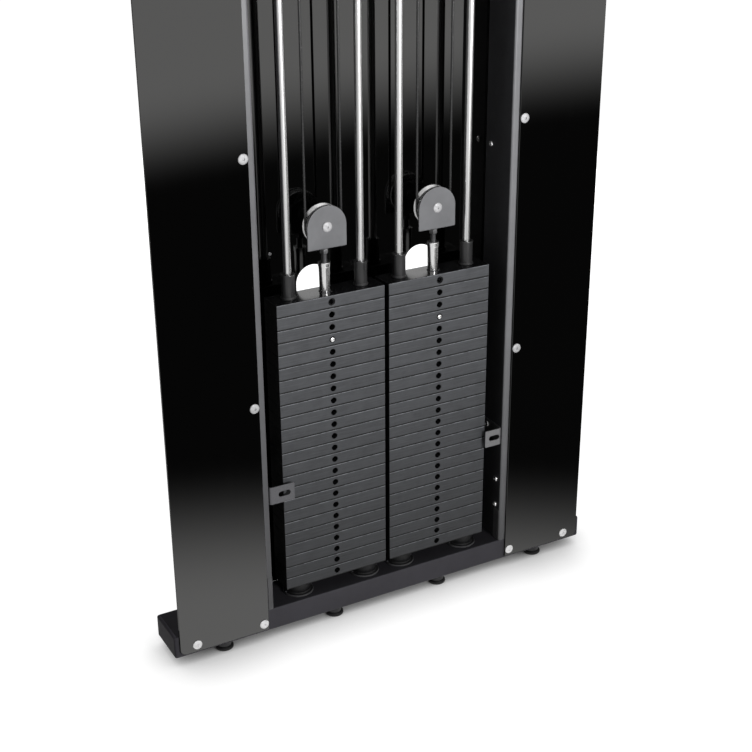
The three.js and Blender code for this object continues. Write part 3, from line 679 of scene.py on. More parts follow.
# %% Gloss finish
def gloss_sheet(name, bending):
    return plain_finish(name, (shade((0.0008, 0.0008, 0.0009)), shade((0.0016, 0.0016, 0.0017))), (14, 5, 0.65),
                        (0.5, 0.8), (0.015, 0.045), (5, 1), (0.02, 0.15), rough_noise=(60, 3, 0.5, (1, 1, 0.06)),
                        rough_range=(0.3, 0.8), IOR=bending)


def keep_from_front_lamp(sheet):
    front_light_users.objects.link(sheet)
    front_light_users.collection_objects[-1].light_linking.link_state = "EXCLUDE"


black_gloss = gloss_sheet("black_gloss", 1.78)
black_edge = gloss_sheet("black_edge", 1.3)
print("finish:", black_gloss.name)

# %% [markdown]
# ## Front panels
# Two tall sheets with rounded outer corners, each held by seven screws: five up the edge beside the bay and two at
# the outer corners. The screws are plain bright button heads with a hexagon recess. A recess is made by letting the
# dome's inner ring take a hexagon's shape and dropping it straight down. The lowest screws look the brightest, so
# they get a lighter copy of the zinc: a painted highlight.

# %% A button-head screw
def hexagon_radius(turn, across_flats):
    within = (turn % (math.pi / 3)) - math.pi / 6
    return across_flats / 2 / math.cos(within)


def turn_of(vertex):
    return math.atan2(vertex.co.y, vertex.co.x)


def button_head(radius, height, across_flats, sides=36):
    dome = [(0.0, 0.0), (radius * 0.97, 0.0), (radius, height * 0.12), (radius, height * 0.28)]
    dome += [(radius * math.cos(a) ** 0.8, height * (0.28 + 0.72 * math.sin(a))) for a in (0.35, 0.7, 1.02)]
    bench_mesh = turned(dome, sides)
    rings = [sorted(list(bench_mesh.verts)[-sides:], key=turn_of)]
    for z in (height, height * 0.35):
        polar = [(hexagon_radius(turn, across_flats), turn) for turn in map(turn_of, rings[0])]
        rings.append(ring_of(bench_mesh, [(r * math.cos(turn), r * math.sin(turn), z) for r, turn in polar]))
    skinned(bench_mesh, rings)
    bench_mesh.faces.new(rings[-1])
    return bench_mesh


def zinc(name, tone, roughness):
    return plain_finish(name, (shade(tone, 0.86), shade(tone)), (220, 4, 0.6), (0.3, 0.7),
                        (roughness + 0.08, roughness - 0.05), (1500, 2), (0.02, 0.3), Metallic=1.0)


PANEL_SCREW = (9.6, 2.8, 5.0)
bright_zinc = zinc("bright_zinc", (0.53, 0.53, 0.54), 0.7)
lit_screw_zinc = zinc("lit_screw_zinc", (0.9, 0.9, 0.91), 0.7)
print("screw head across in mm:", 2 * PANEL_SCREW[0])

# %% Make the front panels and their screws
PANEL_CORNER, INNER_SCREW, OUTER_SCREW, FIRST_RISE = 13, 10, 35, 17
SCREW_HOLE, SHANK_RADIUS, SHANK_LENGTH = 4.5, 3.9, 9
for side, sign in SIDES.items():
    node = side + "_front_panel"
    across, back, high = reach(node)
    inner, outer = sorted(across, key=abs)
    bottom, corner_x = high[0] + 2, outer - sign * PANEL_CORNER
    low_corner = arc(corner_x, bottom + PANEL_CORNER, PANEL_CORNER, -90, 0 if sign > 0 else -180, 10)
    top_corner = arc(corner_x, high[1] - PANEL_CORNER, PANEL_CORNER, 0 if sign > 0 else 180, 90, 10)
    outline = [(inner, bottom)] + low_corner + top_corner + [(inner, high[1])]
    rises = [high[0] + FIRST_RISE + (high[1] - high[0] - 2 * FIRST_RISE) * i / 4 for i in range(5)]
    screws = [(inner + sign * INNER_SCREW, z) for z in rises]
    screws += [(outer - sign * OUTER_SCREW, z) for z in (rises[0], rises[-1])]
    holes = [round_hole(x, z, SCREW_HOLE, 24) for x, z in screws]
    panel = stood(cut_sheet(outline, holes, back[1] - back[0], 0.5), lambda u, v, w: (u, w, v))
    sheet = hang(side + "_gloss_panel", panel, black_gloss, [node])
    keep_from_front_lamp(sheet)
    refinish(sheet, black_edge, faces_sideways)
    heads = [placed(button_head(*PANEL_SCREW), (x, 0, z), FRONT) for x, z in screws]
    shanks = [drill_bit(SHANK_RADIUS, (x, 0, z), (x, SHANK_LENGTH, z), 16) for x, z in screws]
    panel_screws = hang(side + "_panel_screws", joined(heads + shanks), bright_zinc)
    # The screws low on the panel take the lighter zinc, which paints their highlight.
    refinish(panel_screws, lit_screw_zinc, lambda face: face.center.z < 0.1)
print("screw heights:", [round(z) for z in rises])

# %% [markdown]
# ## Back panel
# One large sheet of the same gloss black closes the back, with an arch-topped window behind each stack. Through the
# windows the pale studio shows, which gives the two bright arches in the photograph. Small button-head bolts along
# its edges hold it to the posts, and one more shows faintly inside, left of the left stack.

# %% Make the back panel
WINDOW_WIDTH, WINDOW_HEIGHT, WINDOW_ABOVE_STACK = 68, 120, 37
BOLT_FROM_EDGE, BOLT_FROM_END, BOLTS_A_SIDE = 14, 40, 6
INSIDE_BOLT_X, INSIDE_BOLT_ABOVE_STACK = -205, 73
across, back, high = reach("back_panel")
stack_x = centre("right_head_plate")[0]
stack_top = reach("right_head_plate")[2][1]
window_top = stack_top + WINDOW_ABOVE_STACK
windows = []
for x in (-stack_x, stack_x):
    half = WINDOW_WIDTH / 2
    sill = [(x - half, window_top - WINDOW_HEIGHT), (x + half, window_top - WINDOW_HEIGHT)]
    windows.append(sill + arc(x, window_top - half, half, 0, 180, 40))
back_sheet = cut_sheet(rectangle(*across, *high), windows, back[1] - back[0], 0.35)
stood(back_sheet, lambda u, v, w: (u, back[0] + w, v))
keep_from_front_lamp(hang("gloss_back_panel", back_sheet, black_gloss, ["back_panel"]))

small_heads = []
bolt_run = high[1] - high[0] - 2 * BOLT_FROM_END
for x in (across[0] + BOLT_FROM_EDGE, across[1] - BOLT_FROM_EDGE):
    for z in (high[0] + BOLT_FROM_END + bolt_run * i / (BOLTS_A_SIDE - 1) for i in range(BOLTS_A_SIDE)):
        small_heads.append(placed(button_head(4.5, 2.2, 2.6, 24), (x, back[1], z), BACK))
inside_bolt = (INSIDE_BOLT_X, back[0], stack_top + INSIDE_BOLT_ABOVE_STACK)
small_heads.append(placed(button_head(3.4, 1.2, 2.2, 24), inside_bolt, FRONT))
hang("back_panel_bolts", joined(small_heads), bright_zinc)
print("window top in mm:", round(window_top, 1))

# %% [markdown]
# ## Feet
# The tower stands on six feet, four along the front and two at the back. A foot is a grey neck threaded into the
# base above a wider black rubber pad with a softened rim. Both are turned.

# %% Rubber finish and the feet
def rubber(name, tone, roughness):
    return plain_finish(name, (shade(tone), shade(tone, 1.6)), (90, 4, 0.6), (0.4, 0.75),
                        (roughness - 0.06, roughness + 0.08), (1400, 2), (0.04, 0.4), rough_range=(0.4, 0.75),
                        Specular_IOR_Level=0.35)


black_rubber = rubber("moulded_rubber", (0.012, 0.012, 0.013), 0.62)
dark_neck = powder_coat("foot_neck_coat", (0.06, 0.06, 0.065), (0.12, 0.12, 0.12), 0.4, 0.4)
feet = ["front_foot_%d" % i for i in range(1, 5)] + ["left_back_foot", "right_back_foot"]
for foot in feet:
    across, _, (_, top) = reach(foot)
    radius = (across[1] - across[0]) / 2
    pad = [(0, 0), (radius - 1.5, 0), (radius, 1.5), (radius, 4.6), (radius - 1.6, 6.2), (15.2, 7.4), (0, 7.4)]
    hang(foot + "_pad", upright(foot, pad, 64), black_rubber, [foot])
    neck = [(0, 7.2), (13.6, 7.2), (14.5, 8), (14.5, top - 1.2), (13.8, top), (0, top)]
    hang(foot + "_neck", upright(foot, neck, 64), dark_neck, [foot])
print("feet:", len(feet))

# %% [markdown]
# ## Guide rods
# Four chrome rods run from the base to the top channel. They are satin rather than mirror bright: each shows a broad
# light streak with fine darker draw lines along its length. Noise stretched along the rod gives both the lines and
# the changes in roughness. The same recipe, smoother and brighter, serves the couplings.

# %% Chrome and the guide rods
def chrome(name, tone, roughness, stretch, line_depth, relief):
    along = (1, 1, stretch)
    tones = shade((tone, tone, tone * 1.01)), shade((tone, tone, tone), 1 - line_depth)
    return plain_finish(name, tones, (260, 1, 0.5, along), (0.42, 0.6), (roughness - 0.03, roughness + 0.05),
                        (420, 2, 0.5, along), (0.004, relief), Metallic=1.0)


polished_rod = chrome("polished_rod", 0.84, 0.27, 0.002, 0.4, 0.1)
for name, (across, _, (low, top)) in rods.items():
    node, radius = name + "_guide_rod", (across[1] - across[0]) / 2
    profile = [(0, low), (radius - 1, low), (radius, low + 1), (radius, top - 1), (radius - 1, top), (0, top)]
    hang(name + "_rod", upright(node, profile, 64), polished_rod, [node])
print("rod diameter in mm:", round(2 * ROD_RADIUS, 2))

# %% [markdown]
# ## Bumpers
# Under the stack a rubber bumper sits on each rod, in a flanged cup screwed to the base. The cup's thin rim shows as
# a light curved line, so the rim takes a paler copy of the plastic, a painted highlight, with a screw head at each
# end of the curve.

# %% Make the bumpers
RIM_WIDTH, CUP_SCREW_OUT = 1.3, 28
cup_plastic = rubber("cup_plastic", (0.02, 0.02, 0.021), 0.5)
cup_rim = rubber("cup_rim", (0.12, 0.12, 0.125), 0.4)
cup_screw = zinc("cup_screw", (0.12, 0.12, 0.13), 0.4)
for name in rods:
    node = name + "_bumper"
    across, _, (low, top) = reach(node)
    x, flange = middle(across), (across[1] - across[0]) / 2
    cup = [(BORE, low), (flange - 0.4, low), (flange, low + 0.5), (flange, low + 2.6), (flange - 0.8, low + 3.6),
           (flange - 3.5, low + 3.9), (25.6, low + 4.2), (25.2, low + 7), (24.4, low + 7.4), (BORE, low + 7.4)]
    cup = hang(name + "_bumper_cup", upright(node, cup, 72, True), cup_plastic, [node])
    rim_starts, rod_place = (flange - RIM_WIDTH) * MM, in_frame(x, ROD_DEPTH, 0).xy
    # Faces at the cup's outer rim take the paler copy: a painted highlight.
    refinish(cup, cup_rim, lambda face: (face.center.xy - rod_place).length > rim_starts)
    block = [(BORE, low + 7.4), (23.2, low + 7.4), (24.6, low + 11), (24.8, low + 15), (24.2, top - 2.4),
             (22.4, top), (BORE + 2, top), (BORE, top - 1.2)]
    hang(name + "_bumper_rubber", upright(node, block, 72, True), black_rubber, [node])
    heads = [placed(button_head(2.9, 1.8, 1.6, 24), (x + sign * CUP_SCREW_OUT, ROD_DEPTH, low + 3.7))
             for sign in SIDES.values()]
    hang(name + "_cup_screws", joined(heads), cup_screw)
print("bumper top in mm:", round(top, 1))

# %% [markdown]
# ## Weight plates
# Each stack is 24 flat steel plates, 25 mm thick, with a rod hole near each end, a bore in the middle and a
# selector hole from the front face to that bore. One plate is cut and drilled, then copied down the stack, because
# drilling forty-eight times would only cost time. The first four ride the carriage, for the pin is in the fourth.
#
# The paint is dark grey and brushed across. It differs a little from plate to plate. A light line along the top
# edges is partly paint worn to bare metal and partly a painted highlight, so it is stronger low in the stack, where
# the front lamp reaches less. A near-black band where two plates meet paints the shade in the gap between them. All
# of that follows from the height inside one plate's pitch, so one finish serves the whole stack. The sides and the
# top of a plate are painted darker, as shade, and the top is also smoother.

# %% Plate paint
PLATE_COUNT, LIFTED, PLATE_GAP = 24, 4, 0.4
stack_low = reach("left_resting_plates")[2][0]
PLATE_PITCH = (stack_top - stack_low + PLATE_GAP) / PLATE_COUNT
PLATE_THICKNESS = PLATE_PITCH - PLATE_GAP


def plate_paint(name, tone):
    finish, tree, shader, where = begin_finish(name)
    height = wire(tree, "ShaderNodeSeparateXYZ", Vector=where).outputs["Z"]
    stacked = sums(tree, "MULTIPLY_ADD", height, 1 / (PLATE_PITCH * MM), (PLATE_GAP / 2 - stack_low) / PLATE_PITCH)
    rise, layer = sums(tree, "FRACT", stacked), sums(tree, "FLOOR", stacked)
    batch = wire(tree, "ShaderNodeTexWhiteNoise", {"noise_dimensions": "1D"}, W=layer).outputs["Value"]
    mottle = noise(tree, where, 45, 4, 0.6)
    uneven = sums(tree, "MULTIPLY_ADD", batch, 0.25, mottle)
    colour = blended(tree, spread(tree, uneven, 0.4, 0.85), shade(tone, 0.84), shade(tone, 1.12))
    brushed = noise(tree, where, 420, 3, 0.7, (0.04, 1, 1))
    colour = blended(tree, spread(tree, brushed, 0.42, 0.68, 0, 0.5), colour, shade(tone, 1.5))

    normal = wire(tree, "ShaderNodeSeparateXYZ", Vector=wire(tree, "ShaderNodeNewGeometry").outputs["Normal"]).outputs
    scratchy = spread(tree, noise(tree, where, 60, 3, 0.7), 0.4, 0.6, 0.25, 0.8)
    # The light line along each top edge is partly paint worn to bare metal and partly a painted highlight, stronger
    # lower down.
    rub_and_highlight = sums(tree, "MULTIPLY", scratchy, spread(tree, height, 0.1, 0.7, 1.0, 0.5))
    lighter_edges = sums(tree, "MULTIPLY", spread(tree, rise, 0.925, 0.945), rub_and_highlight)
    colour = blended(tree, lighter_edges, colour, shade(tone, 6.5))
    # A near-black band where two plates meet: painted shade in the gap.
    joint_shade = sums(tree, "MAXIMUM", spread(tree, rise, 0.108, 0.088), spread(tree, rise, 0.98, 0.99))
    upright = spread(tree, sums(tree, "ABSOLUTE", normal["Z"]), 0.9, 0.7)
    colour = blended(tree, sums(tree, "MULTIPLY", joint_shade, upright), colour, shade((0.001, 0.001, 0.001)))
    # Side faces are painted near black: painted shade.
    side_shade = spread(tree, sums(tree, "ABSOLUTE", normal["X"]), 0.5, 0.9)
    colour = blended(tree, side_shade, colour, shade((0.006, 0.006, 0.006)))
    # Faces that look up are painted near black: painted shade.
    top = spread(tree, normal["Z"], 0.5, 0.95)
    colour = blended(tree, top, colour, shade((0.012, 0.012, 0.013)))
    tree.links.new(colour, shader.inputs["Base Color"])

    rough = sums(tree, "MULTIPLY_ADD", top, -0.26, spread(tree, mottle, 0.3, 0.7, 0.40, 0.47))
    tree.links.new(rough, shader.inputs["Roughness"])
    shader.inputs["Specular IOR Level"].default_value = 0.4
    grain = sums(tree, "MULTIPLY", noise(tree, where, 500, 3), spread(tree, top, 0, 1, 1, 0.12))
    dented(tree, shader, grain, 0.06, 0.35)
    return finish


stack_paint = plate_paint("stack_paint", (0.082, 0.085, 0.092))
print("plate pitch in mm:", round(PLATE_PITCH, 2))

# %% Cut, drill and stack the plates
PLATE_EDGE, ROD_HOLE, ROD_IN_REACH = 1.3, 9, 100


def blank_plate(node, bore, selector):
    across, back, _ = reach(node)
    x, y, half = *centre(node)[:2], PLATE_THICKNESS / 2
    outline = rounded_rectangle(*across, *back, 1.2, 3)
    rod_x = [middle(rod[0]) for rod in rods.values() if abs(middle(rod[0]) - x) < ROD_IN_REACH]
    holes = [round_hole(place, y, ROD_HOLE) for place in rod_x] + [round_hole(x, y, bore, 40)]
    plate = cut_sheet(outline, holes, PLATE_THICKNESS, PLATE_EDGE, steps=4)
    plate = drilled(plate, [drill_bit(selector, (x, back[0] - 2, half), (x, y, half))])
    countersink = turned([(0, -1), (selector + 1.4, -1), (selector - 0.2, 0.6), (0, 0.6)], 32)
    return drilled(plate, [placed(countersink, (x, back[0], half), BACK)])


def copied(bench_mesh, rise):
    twin = bench_mesh.copy()
    bmesh.ops.translate(twin, verts=twin.verts, vec=(0, 0, rise))
    return twin


def plate_floor(number):
    return stack_top + PLATE_GAP - number * PLATE_PITCH


for side in SIDES:
    carriage = side + "_carriage"
    head = blank_plate(side + "_head_plate", 11.3, 7.0)
    cut_head = hang(side + "_head_plate_cut", copied(head, plate_floor(1)), stack_paint,
                    [side + "_head_plate"], carriage)
    window_light_users.objects.link(cut_head)
    plain = blank_plate(side + "_head_plate", 13.0, 6.0)
    for number in range(2, PLATE_COUNT + 1):
        node, body = ("_lifted_plates", carriage) if number <= LIFTED else ("_resting_plates", "cabinet")
        hang("%s_plate_%02d" % (side, number), copied(plain, plate_floor(number)), stack_paint,
             [side + node], body)
    head.free()
    plain.free()
print("plates hung:", sum("plate_" in name for name in made_pieces))

# %% [markdown]
# ## Selector stem, head bush and pin
# A drilled stem hangs from the head plate through all the plates, and the pin joins it to one of them. From the
# front only the dark holes show, the bush in the head plate, and the small bright end of the pin in the fourth
# plate with a thin dark ring round it.

# %% Make the stems, bushes and pins
STEM_RADIUS, STEM_HOLE = 11.0, 5.6
dark_steel = zinc("dark_steel", (0.16, 0.16, 0.17), 0.34)
black_bush = zinc("black_bush", (0.05, 0.05, 0.052), 0.3)
bright_pin = zinc("bright_pin", (0.95, 0.95, 0.95), 0.22)
rises = [plate_floor(number) + PLATE_THICKNESS / 2 for number in range(1, PLATE_COUNT + 1)]
for side in SIDES:
    node, pin_node, carriage = side + "_selector_stem", side + "_selector_pin", side + "_carriage"
    (x, y, _), (low, top) = centre(node), reach(node)[2]
    profile = [(0, low), (STEM_RADIUS - 2, low), (STEM_RADIUS, low + 3), (STEM_RADIUS, top - 0.6),
               (STEM_RADIUS - 0.6, top), (0, top)]
    bits = [drill_bit(STEM_HOLE, (x, y - 16, z), (x, y + 16, z), 24) for z in rises[1:]]
    stem = drilled(upright(node, profile), bits)
    hang(side + "_drilled_stem", stem, dark_steel, [node], carriage)
    plate_front = reach(side + "_head_plate")[1][0]
    bush = turned([(5.0, 1.6), (6.2, 1.6), (6.9, 2.2), (6.9, 8), (5.0, 8)], 40, True)
    hang(side + "_head_bush", placed(bush, (x, plate_front, rises[0]), BACK), black_bush, (), carriage)
    pin_front, pin_back = reach(pin_node)[1]
    length = pin_back - pin_front
    pin = turned([(0, 0), (3.0, 0.2), (4.2, 0.9), (4.7, 2.0), (4.7, length - 1.5), (3.2, length), (0, length)], 36)
    hang(side + "_pin", placed(pin, (x, pin_front, rises[LIFTED - 1]), BACK), bright_pin,
         [pin_node], pin_node)
print("holes in a stem:", len(rises) - 1)

# %% [markdown]
# ## Rod sleeves
# A dark plastic sleeve guides the head plate on each rod. It has a rounded foot and a small lip at its mouth. The
# plastic is a little shiny, so the bright front of the room runs down it as soft streaks.

# %% Make the sleeves
PLASTIC_TONE = (0.030, 0.030, 0.031)
sleeve_plastic = plain_finish("sleeve_plastic", (shade(PLASTIC_TONE, 0.85), shade(PLASTIC_TONE, 1.15)),
                              (120, 3, 0.5, (1, 1, 0.2)), (0.35, 0.65), (0.25, 0.35), (1100, 2), (0.02, 0.3),
                              Specular_IOR_Level=0.5)
for name in rods:
    node = name + "_rod_sleeve"
    low, top = reach(node)[2]
    profile = [(BORE, low), (14.0, low), (14.6, low + 0.7), (14.6, low + 2.4), (13.6, low + 3.6), (12.9, low + 4.4),
               (12.9, low + 8), (12.9, top - 1), (13.4, top + 0.4), (13.4, top + 2), (12.8, top + 3),
               (BORE + 0.8, top + 3), (BORE, top + 2.2)]
    hang(name + "_sleeve", upright(node, profile, 64, True), sleeve_plastic, [node],
         name.split("_")[0] + "_carriage")
print("sleeve height in mm:", round(top - low, 1))

# %% [markdown]
# ## Lift coupling
# Between the head plate and the floating pulley sits a bright tapered coupling with a collar, and a short threaded
# stud locked by a flange nut under the yoke. The thread is real: its radius follows a spiral as it climbs, so the
# crests run round the stud as they do on a bolt.

# %% Threads and hexagon nuts
ROWS_PER_TURN = 6


def threaded(radius, depth, pitch, low, high, sides=28):
    rows = int((high - low) / pitch * ROWS_PER_TURN)
    bench_mesh = turned([(radius, low + (high - low) * i / rows) for i in range(rows + 1)], sides)
    for vertex in bench_mesh.verts:
        turn = turn_of(vertex) / (2 * math.pi)
        phase = ((vertex.co.z - low) / pitch - turn) % 1
        fade = min(1.0, (vertex.co.z - low) / pitch, (high - vertex.co.z) / pitch)
        shrink = 1 - depth * fade * abs(2 * phase - 1) / radius
        vertex.co.x *= shrink
        vertex.co.y *= shrink
    for z in (low, high):
        bench_mesh.faces.new(sorted((v for v in bench_mesh.verts if abs(v.co.z - z) < 1e-4), key=turn_of))
    return bench_mesh


def flange_nut(flats, flange, low, high, flange_up=True, sides=48):
    height, corner = high - low, flats / math.sqrt(3)
    bench_mesh = bmesh.new()
    rings = []
    for share, rise in ((0.86, 0.0), (1.0, 0.14), (1.0, 0.66), (0.97, 0.72)):
        limit = corner * (0.93 if rise < 0.1 else 1.0)
        polar = [(min(hexagon_radius(turn, flats), limit) * share, turn) for turn in turns_of(sides)]
        rings.append(ring_of(bench_mesh, [(r * math.cos(a), r * math.sin(a), rise * height) for r, a in polar]))
    for r, rise in ((flange * 0.94, 0.8), (flange, 0.86), (flange, 1.0)):
        points = [(r * math.cos(a), r * math.sin(a), rise * height) for a in turns_of(sides)]
        rings.append(ring_of(bench_mesh, points))
    skinned(bench_mesh, rings)
    bench_mesh.faces.new(rings[0])
    bench_mesh.faces.new(rings[-1])
    if not flange_up:
        stood(bench_mesh, lambda x, y, z: (x, y, height - z))
    return placed(bench_mesh, (0, 0, low))


# %% Make the couplings, studs and nuts
COUPLING_HEIGHT, STUD_RADIUS, THREAD_DEPTH, THREAD_PITCH, NUT_HEIGHT = 58, 5.8, 0.8, 1.75, 12
dull_zinc = zinc("dull_zinc", (0.15, 0.15, 0.155), 0.42)
polished_coupling = chrome("polished_coupling", 0.98, 0.2, 0.02, 0.07, 0.03)
for side in SIDES:
    node, carriage = side + "_lift_coupling", side + "_carriage"
    low, stud_top = reach(node)[2]
    place, top = (*centre(node)[:2], 0), low + COUPLING_HEIGHT
    coupling = turned([(0, low), (10.0, low), (10.5, low + 0.6), (11.3, top - 9), (11.2, top - 8.2), (12.0, top - 7.6),
                       (12.0, top - 1), (11.2, top), (6.1, top), (6.1, top - 1), (0, top - 1)], 64)
    for z in (low + 6, low + 12):
        bit = placed(turned([(0, 0), (1.3, 0), (1.3, 12), (0, 12)], 20), (-2.2, -4.0, z), (-0.5, -0.87, 0))
        coupling = drilled(coupling, [bit])
    hang(side + "_coupling", placed(coupling, place), polished_coupling, [node], carriage)
    stud = threaded(STUD_RADIUS, THREAD_DEPTH, THREAD_PITCH, top - 0.9, stud_top - 0.3)
    hang(side + "_stud", placed(stud, place), dull_zinc, (), carriage)
    nut = flange_nut(14.5, 9.6, stud_top - NUT_HEIGHT, stud_top)
    hang(side + "_stud_nut", placed(nut, place), dull_zinc, (), carriage)
print("coupling top in mm:", round(top, 1))

# %% [markdown]
# ## Yokes
# The floating pulley hangs the load. Its yoke has a wide cheek in front with an arched top, painted mid grey, and a
# narrower strap that runs under the wheel and up behind it. The strap is a folded blank with a round end.

# %% Make the yokes
CHEEK, WEB, AXLE_HOLE, EASE = 4.0, 2.4, 6.3, 3.6
STRAP_HALF, STRAP_WALL, STRAP_BEND = 22.0, 3.2, 3.0
yoke_coat = powder_coat("yoke_coat", (0.205, 0.207, 0.217), (0.34, 0.34, 0.35), 0.45, 0.4)
for side in SIDES:
    node = side + "_pulley_yoke"
    across, back, (low, top) = reach(node)
    x, half = middle(across), (across[1] - across[0]) / 2
    axle_z = top - half
    outline = [(x - half + 1.5, low), (x + half - 1.5, low), (x + half, low + 1.5)]
    outline += arc(x, axle_z, half, 0, 180, 56) + [(x - half, low + 1.5)]
    cheek = cut_sheet(outline, [round_hole(x, axle_z, AXLE_HOLE)], CHEEK, 0.7, steps=2)
    for height in (0.3, 0.8, 1.6, 2.6, EASE):
        cut_across(cheek, low + height)
    for vertex in cheek.verts:
        below = low + EASE - vertex.co.y
        if below > 0:
            back_off = EASE - math.sqrt(max(EASE ** 2 - below ** 2, 0))
            vertex.co.z += back_off * (1 - vertex.co.z / CHEEK)
    stood(cheek, lambda u, v, w: (u, back[0] + w, v))
    run = back[1] - back[0] - CHEEK - STRAP_BEND - STRAP_WALL + 0.2
    curve = (STRAP_BEND + STRAP_WALL / 2) * math.pi / 2
    rise = axle_z - low - STRAP_BEND - STRAP_WALL
    far = run + curve + rise
    blank = [(-STRAP_HALF, 0), (STRAP_HALF, 0)] + arc(0, far, STRAP_HALF, 0, 180, 32)
    strap = cut_sheet(blank, [round_hole(0, far, AXLE_HOLE)], STRAP_WALL, 0.4)
    fold(strap, run, STRAP_BEND, STRAP_WALL)
    thin = WEB / STRAP_WALL
    stood(strap, lambda u, v, w: (x + u, back[0] + CHEEK - 0.2 + v, low + (w * thin if v < run else w)))
    hang(side + "_yoke", joined([cheek, strap]), yoke_coat, [node], side + "_carriage")
print("axle height in mm:", round(axle_z, 1))

# %% [markdown]
# ## Pulley wheels and axles
# The wheels are grooved and run on ball bearings. A bright curved rim shows above the cheek, with the dark groove in
# front of it. The profile is turned, and the bearing is its own ring so that metal meets wheel with a clean line. The
# floor of the groove has its own dark finish, which paints the shade in the groove.

# %% Make the wheels, bearings and axles
RIM, GROOVE_HALF = 39.5, 2.4
WHEEL_SIDE = [(16.2, 10.4), (19.5, 10.4), (20.5, 9.6), (20.9, 4.6), (22, 4), (28.2, 4), (29.2, 4.6), (29.5, 8.2),
              (30.3, 9), (38.7, 9), (39.3, 8.7), (RIM, 8.2), (RIM, 7.2), (39.1, 6.7), (38.0, 5.9), (35.6, 3.6),
              (34.4, 2.2), (34.0, 0.8)]
BEARING_SIDE = [(6.4, 10.5), (8.6, 10.5), (8.9, 10.2), (9.1, 9.6), (13.4, 9.6), (13.6, 10.2), (13.9, 10.5),
                (16.2, 10.5)]
machined_wheel = plain_finish("machined_wheel", (shade((0.76, 0.76, 0.77)), shade((0.62, 0.62, 0.63))), (260, 3),
                              (0.35, 0.7), (0.2, 0.32), (700, 2), (0.02, 0.25), Metallic=0.85)
shaded_groove = rubber("shaded_groove", (0.02, 0.02, 0.02), 0.5)


def two_sided(side_profile, sides):
    return turned(side_profile + [(r, -h) for r, h in reversed(side_profile)], sides, True)


def axle_parts(half):
    head = placed(button_head(9.8, 3.0, 4.2, 48), (0, 0, -half), (0, 0, -1))
    shank = turned([(0, -half), (5.95, -half), (5.95, half + 6.4), (5.3, half + 7), (0, half + 7)], 40)
    washer = turned([(6, half), (11, half), (11, half + 1.4), (6, half + 1.4)], 48, True)
    return head, shank, washer, flange_nut(16, 9.5, half + 1.4, half + 6.3, flange_up=False)


def hang_wheel(node, axis, names, axle_half, axle_node, axle_body):
    hub = centre(node)
    wheel = two_sided(WHEEL_SIDE, 128)
    # Faces on the groove's floor take the dark finish: painted shade.
    for face in wheel.faces:
        face.material_index = int(abs(face.calc_center_median().z) < GROOVE_HALF)
    wheel = hang(names[0], placed(wheel, hub, axis), machined_wheel, [node], node)
    wheel.data.materials.append(shaded_groove)
    hang(names[1], placed(two_sided(BEARING_SIDE, 64), hub, axis), bright_zinc, (), node)
    axle = [placed(part, hub, axis) for part in axle_parts(axle_half)]
    hang(names[2], joined(axle), bright_zinc, [axle_node], axle_body)
    return hub


for side in SIDES:
    yoke_front, yoke_back = reach(side + "_pulley_yoke")[1]
    names = (side + "_wheel", side + "_wheel_bearing", side + "_axle")
    hang_wheel(side + "_lift_wheel", BACK, names, (yoke_back - yoke_front) / 2 + 0.1, side + "_wheel_axle",
               side + "_carriage")
    names = (side + "_upper_wheel", side + "_upper_bearing", side + "_upper_axle")
    hub = hang_wheel(side + "_top_wheel", ACROSS, names, 15.1, side + "_top_axle", "cabinet")
print("centre of the upper wheel:", [round(v, 1) for v in hub])

# %% [markdown]
# ## Ears and cable anchors
# The upper wheels hang between pairs of ears welded under the top channel. The photograph is cut off below them, so
# their shape is the usual one for such a wheel: a flat ear with a round lower end. Beside each pair a turned socket
# takes the cable's fixed end.

# %% Make the ears and anchors
EAR, EAR_RADIUS, EAR_FROM_WHEEL = 4, 16, 11
channel_floor = TOWER_HEIGHT - SECTION_HEIGHT
for side in SIDES:
    x, y, z = centre(side + "_top_wheel")
    outline = [(55, channel_floor + 0.5), (5, channel_floor + 0.5)] + arc(y, z, EAR_RADIUS, 180, 360, 28)
    outline.append((y + EAR_RADIUS, z + 8))
    ears = []
    for near in (x - EAR_FROM_WHEEL - EAR, x + EAR_FROM_WHEEL):
        ear = cut_sheet(outline, [round_hole(y, z, AXLE_HOLE)], EAR, 0.4)
        ears.append(stood(ear, lambda u, v, w: (near + w, u, v)))
    hang(side + "_wheel_ears", joined(ears), charcoal_coat, ["top_channel"])
    low = channel_floor - 30
    socket = [(2.8, low), (6.5, low), (7.6, low + 1.2), (7.6, low + 16), (9, low + 18), (9, channel_floor + 0.4),
              (2.8, channel_floor + 0.4)]
    anchor = upright(side + "_fixed_strand", socket, 40, True)
    hang(side + "_cable_anchor", anchor, dark_steel, ["top_channel"])
print("ears and anchors hung")

# %% [markdown]
# ## Wire rope
# The cable is 5 mm wire rope in a dark coat. Its section is a circle with six shallow lobes, turned a little more at
# each step along the path, so the strands wind round it. The two upright runs of each cable hang on the tower, the
# wrap under the floating wheel rides the carriage, and the tail runs over the upper wheel and down to the cable's end.

# %% Lay up a rope along a path
LAY, ROPE_RADIUS, ROPE_POINTS, ROPE_STEP = 34.0, 2.5, 12, 2.8


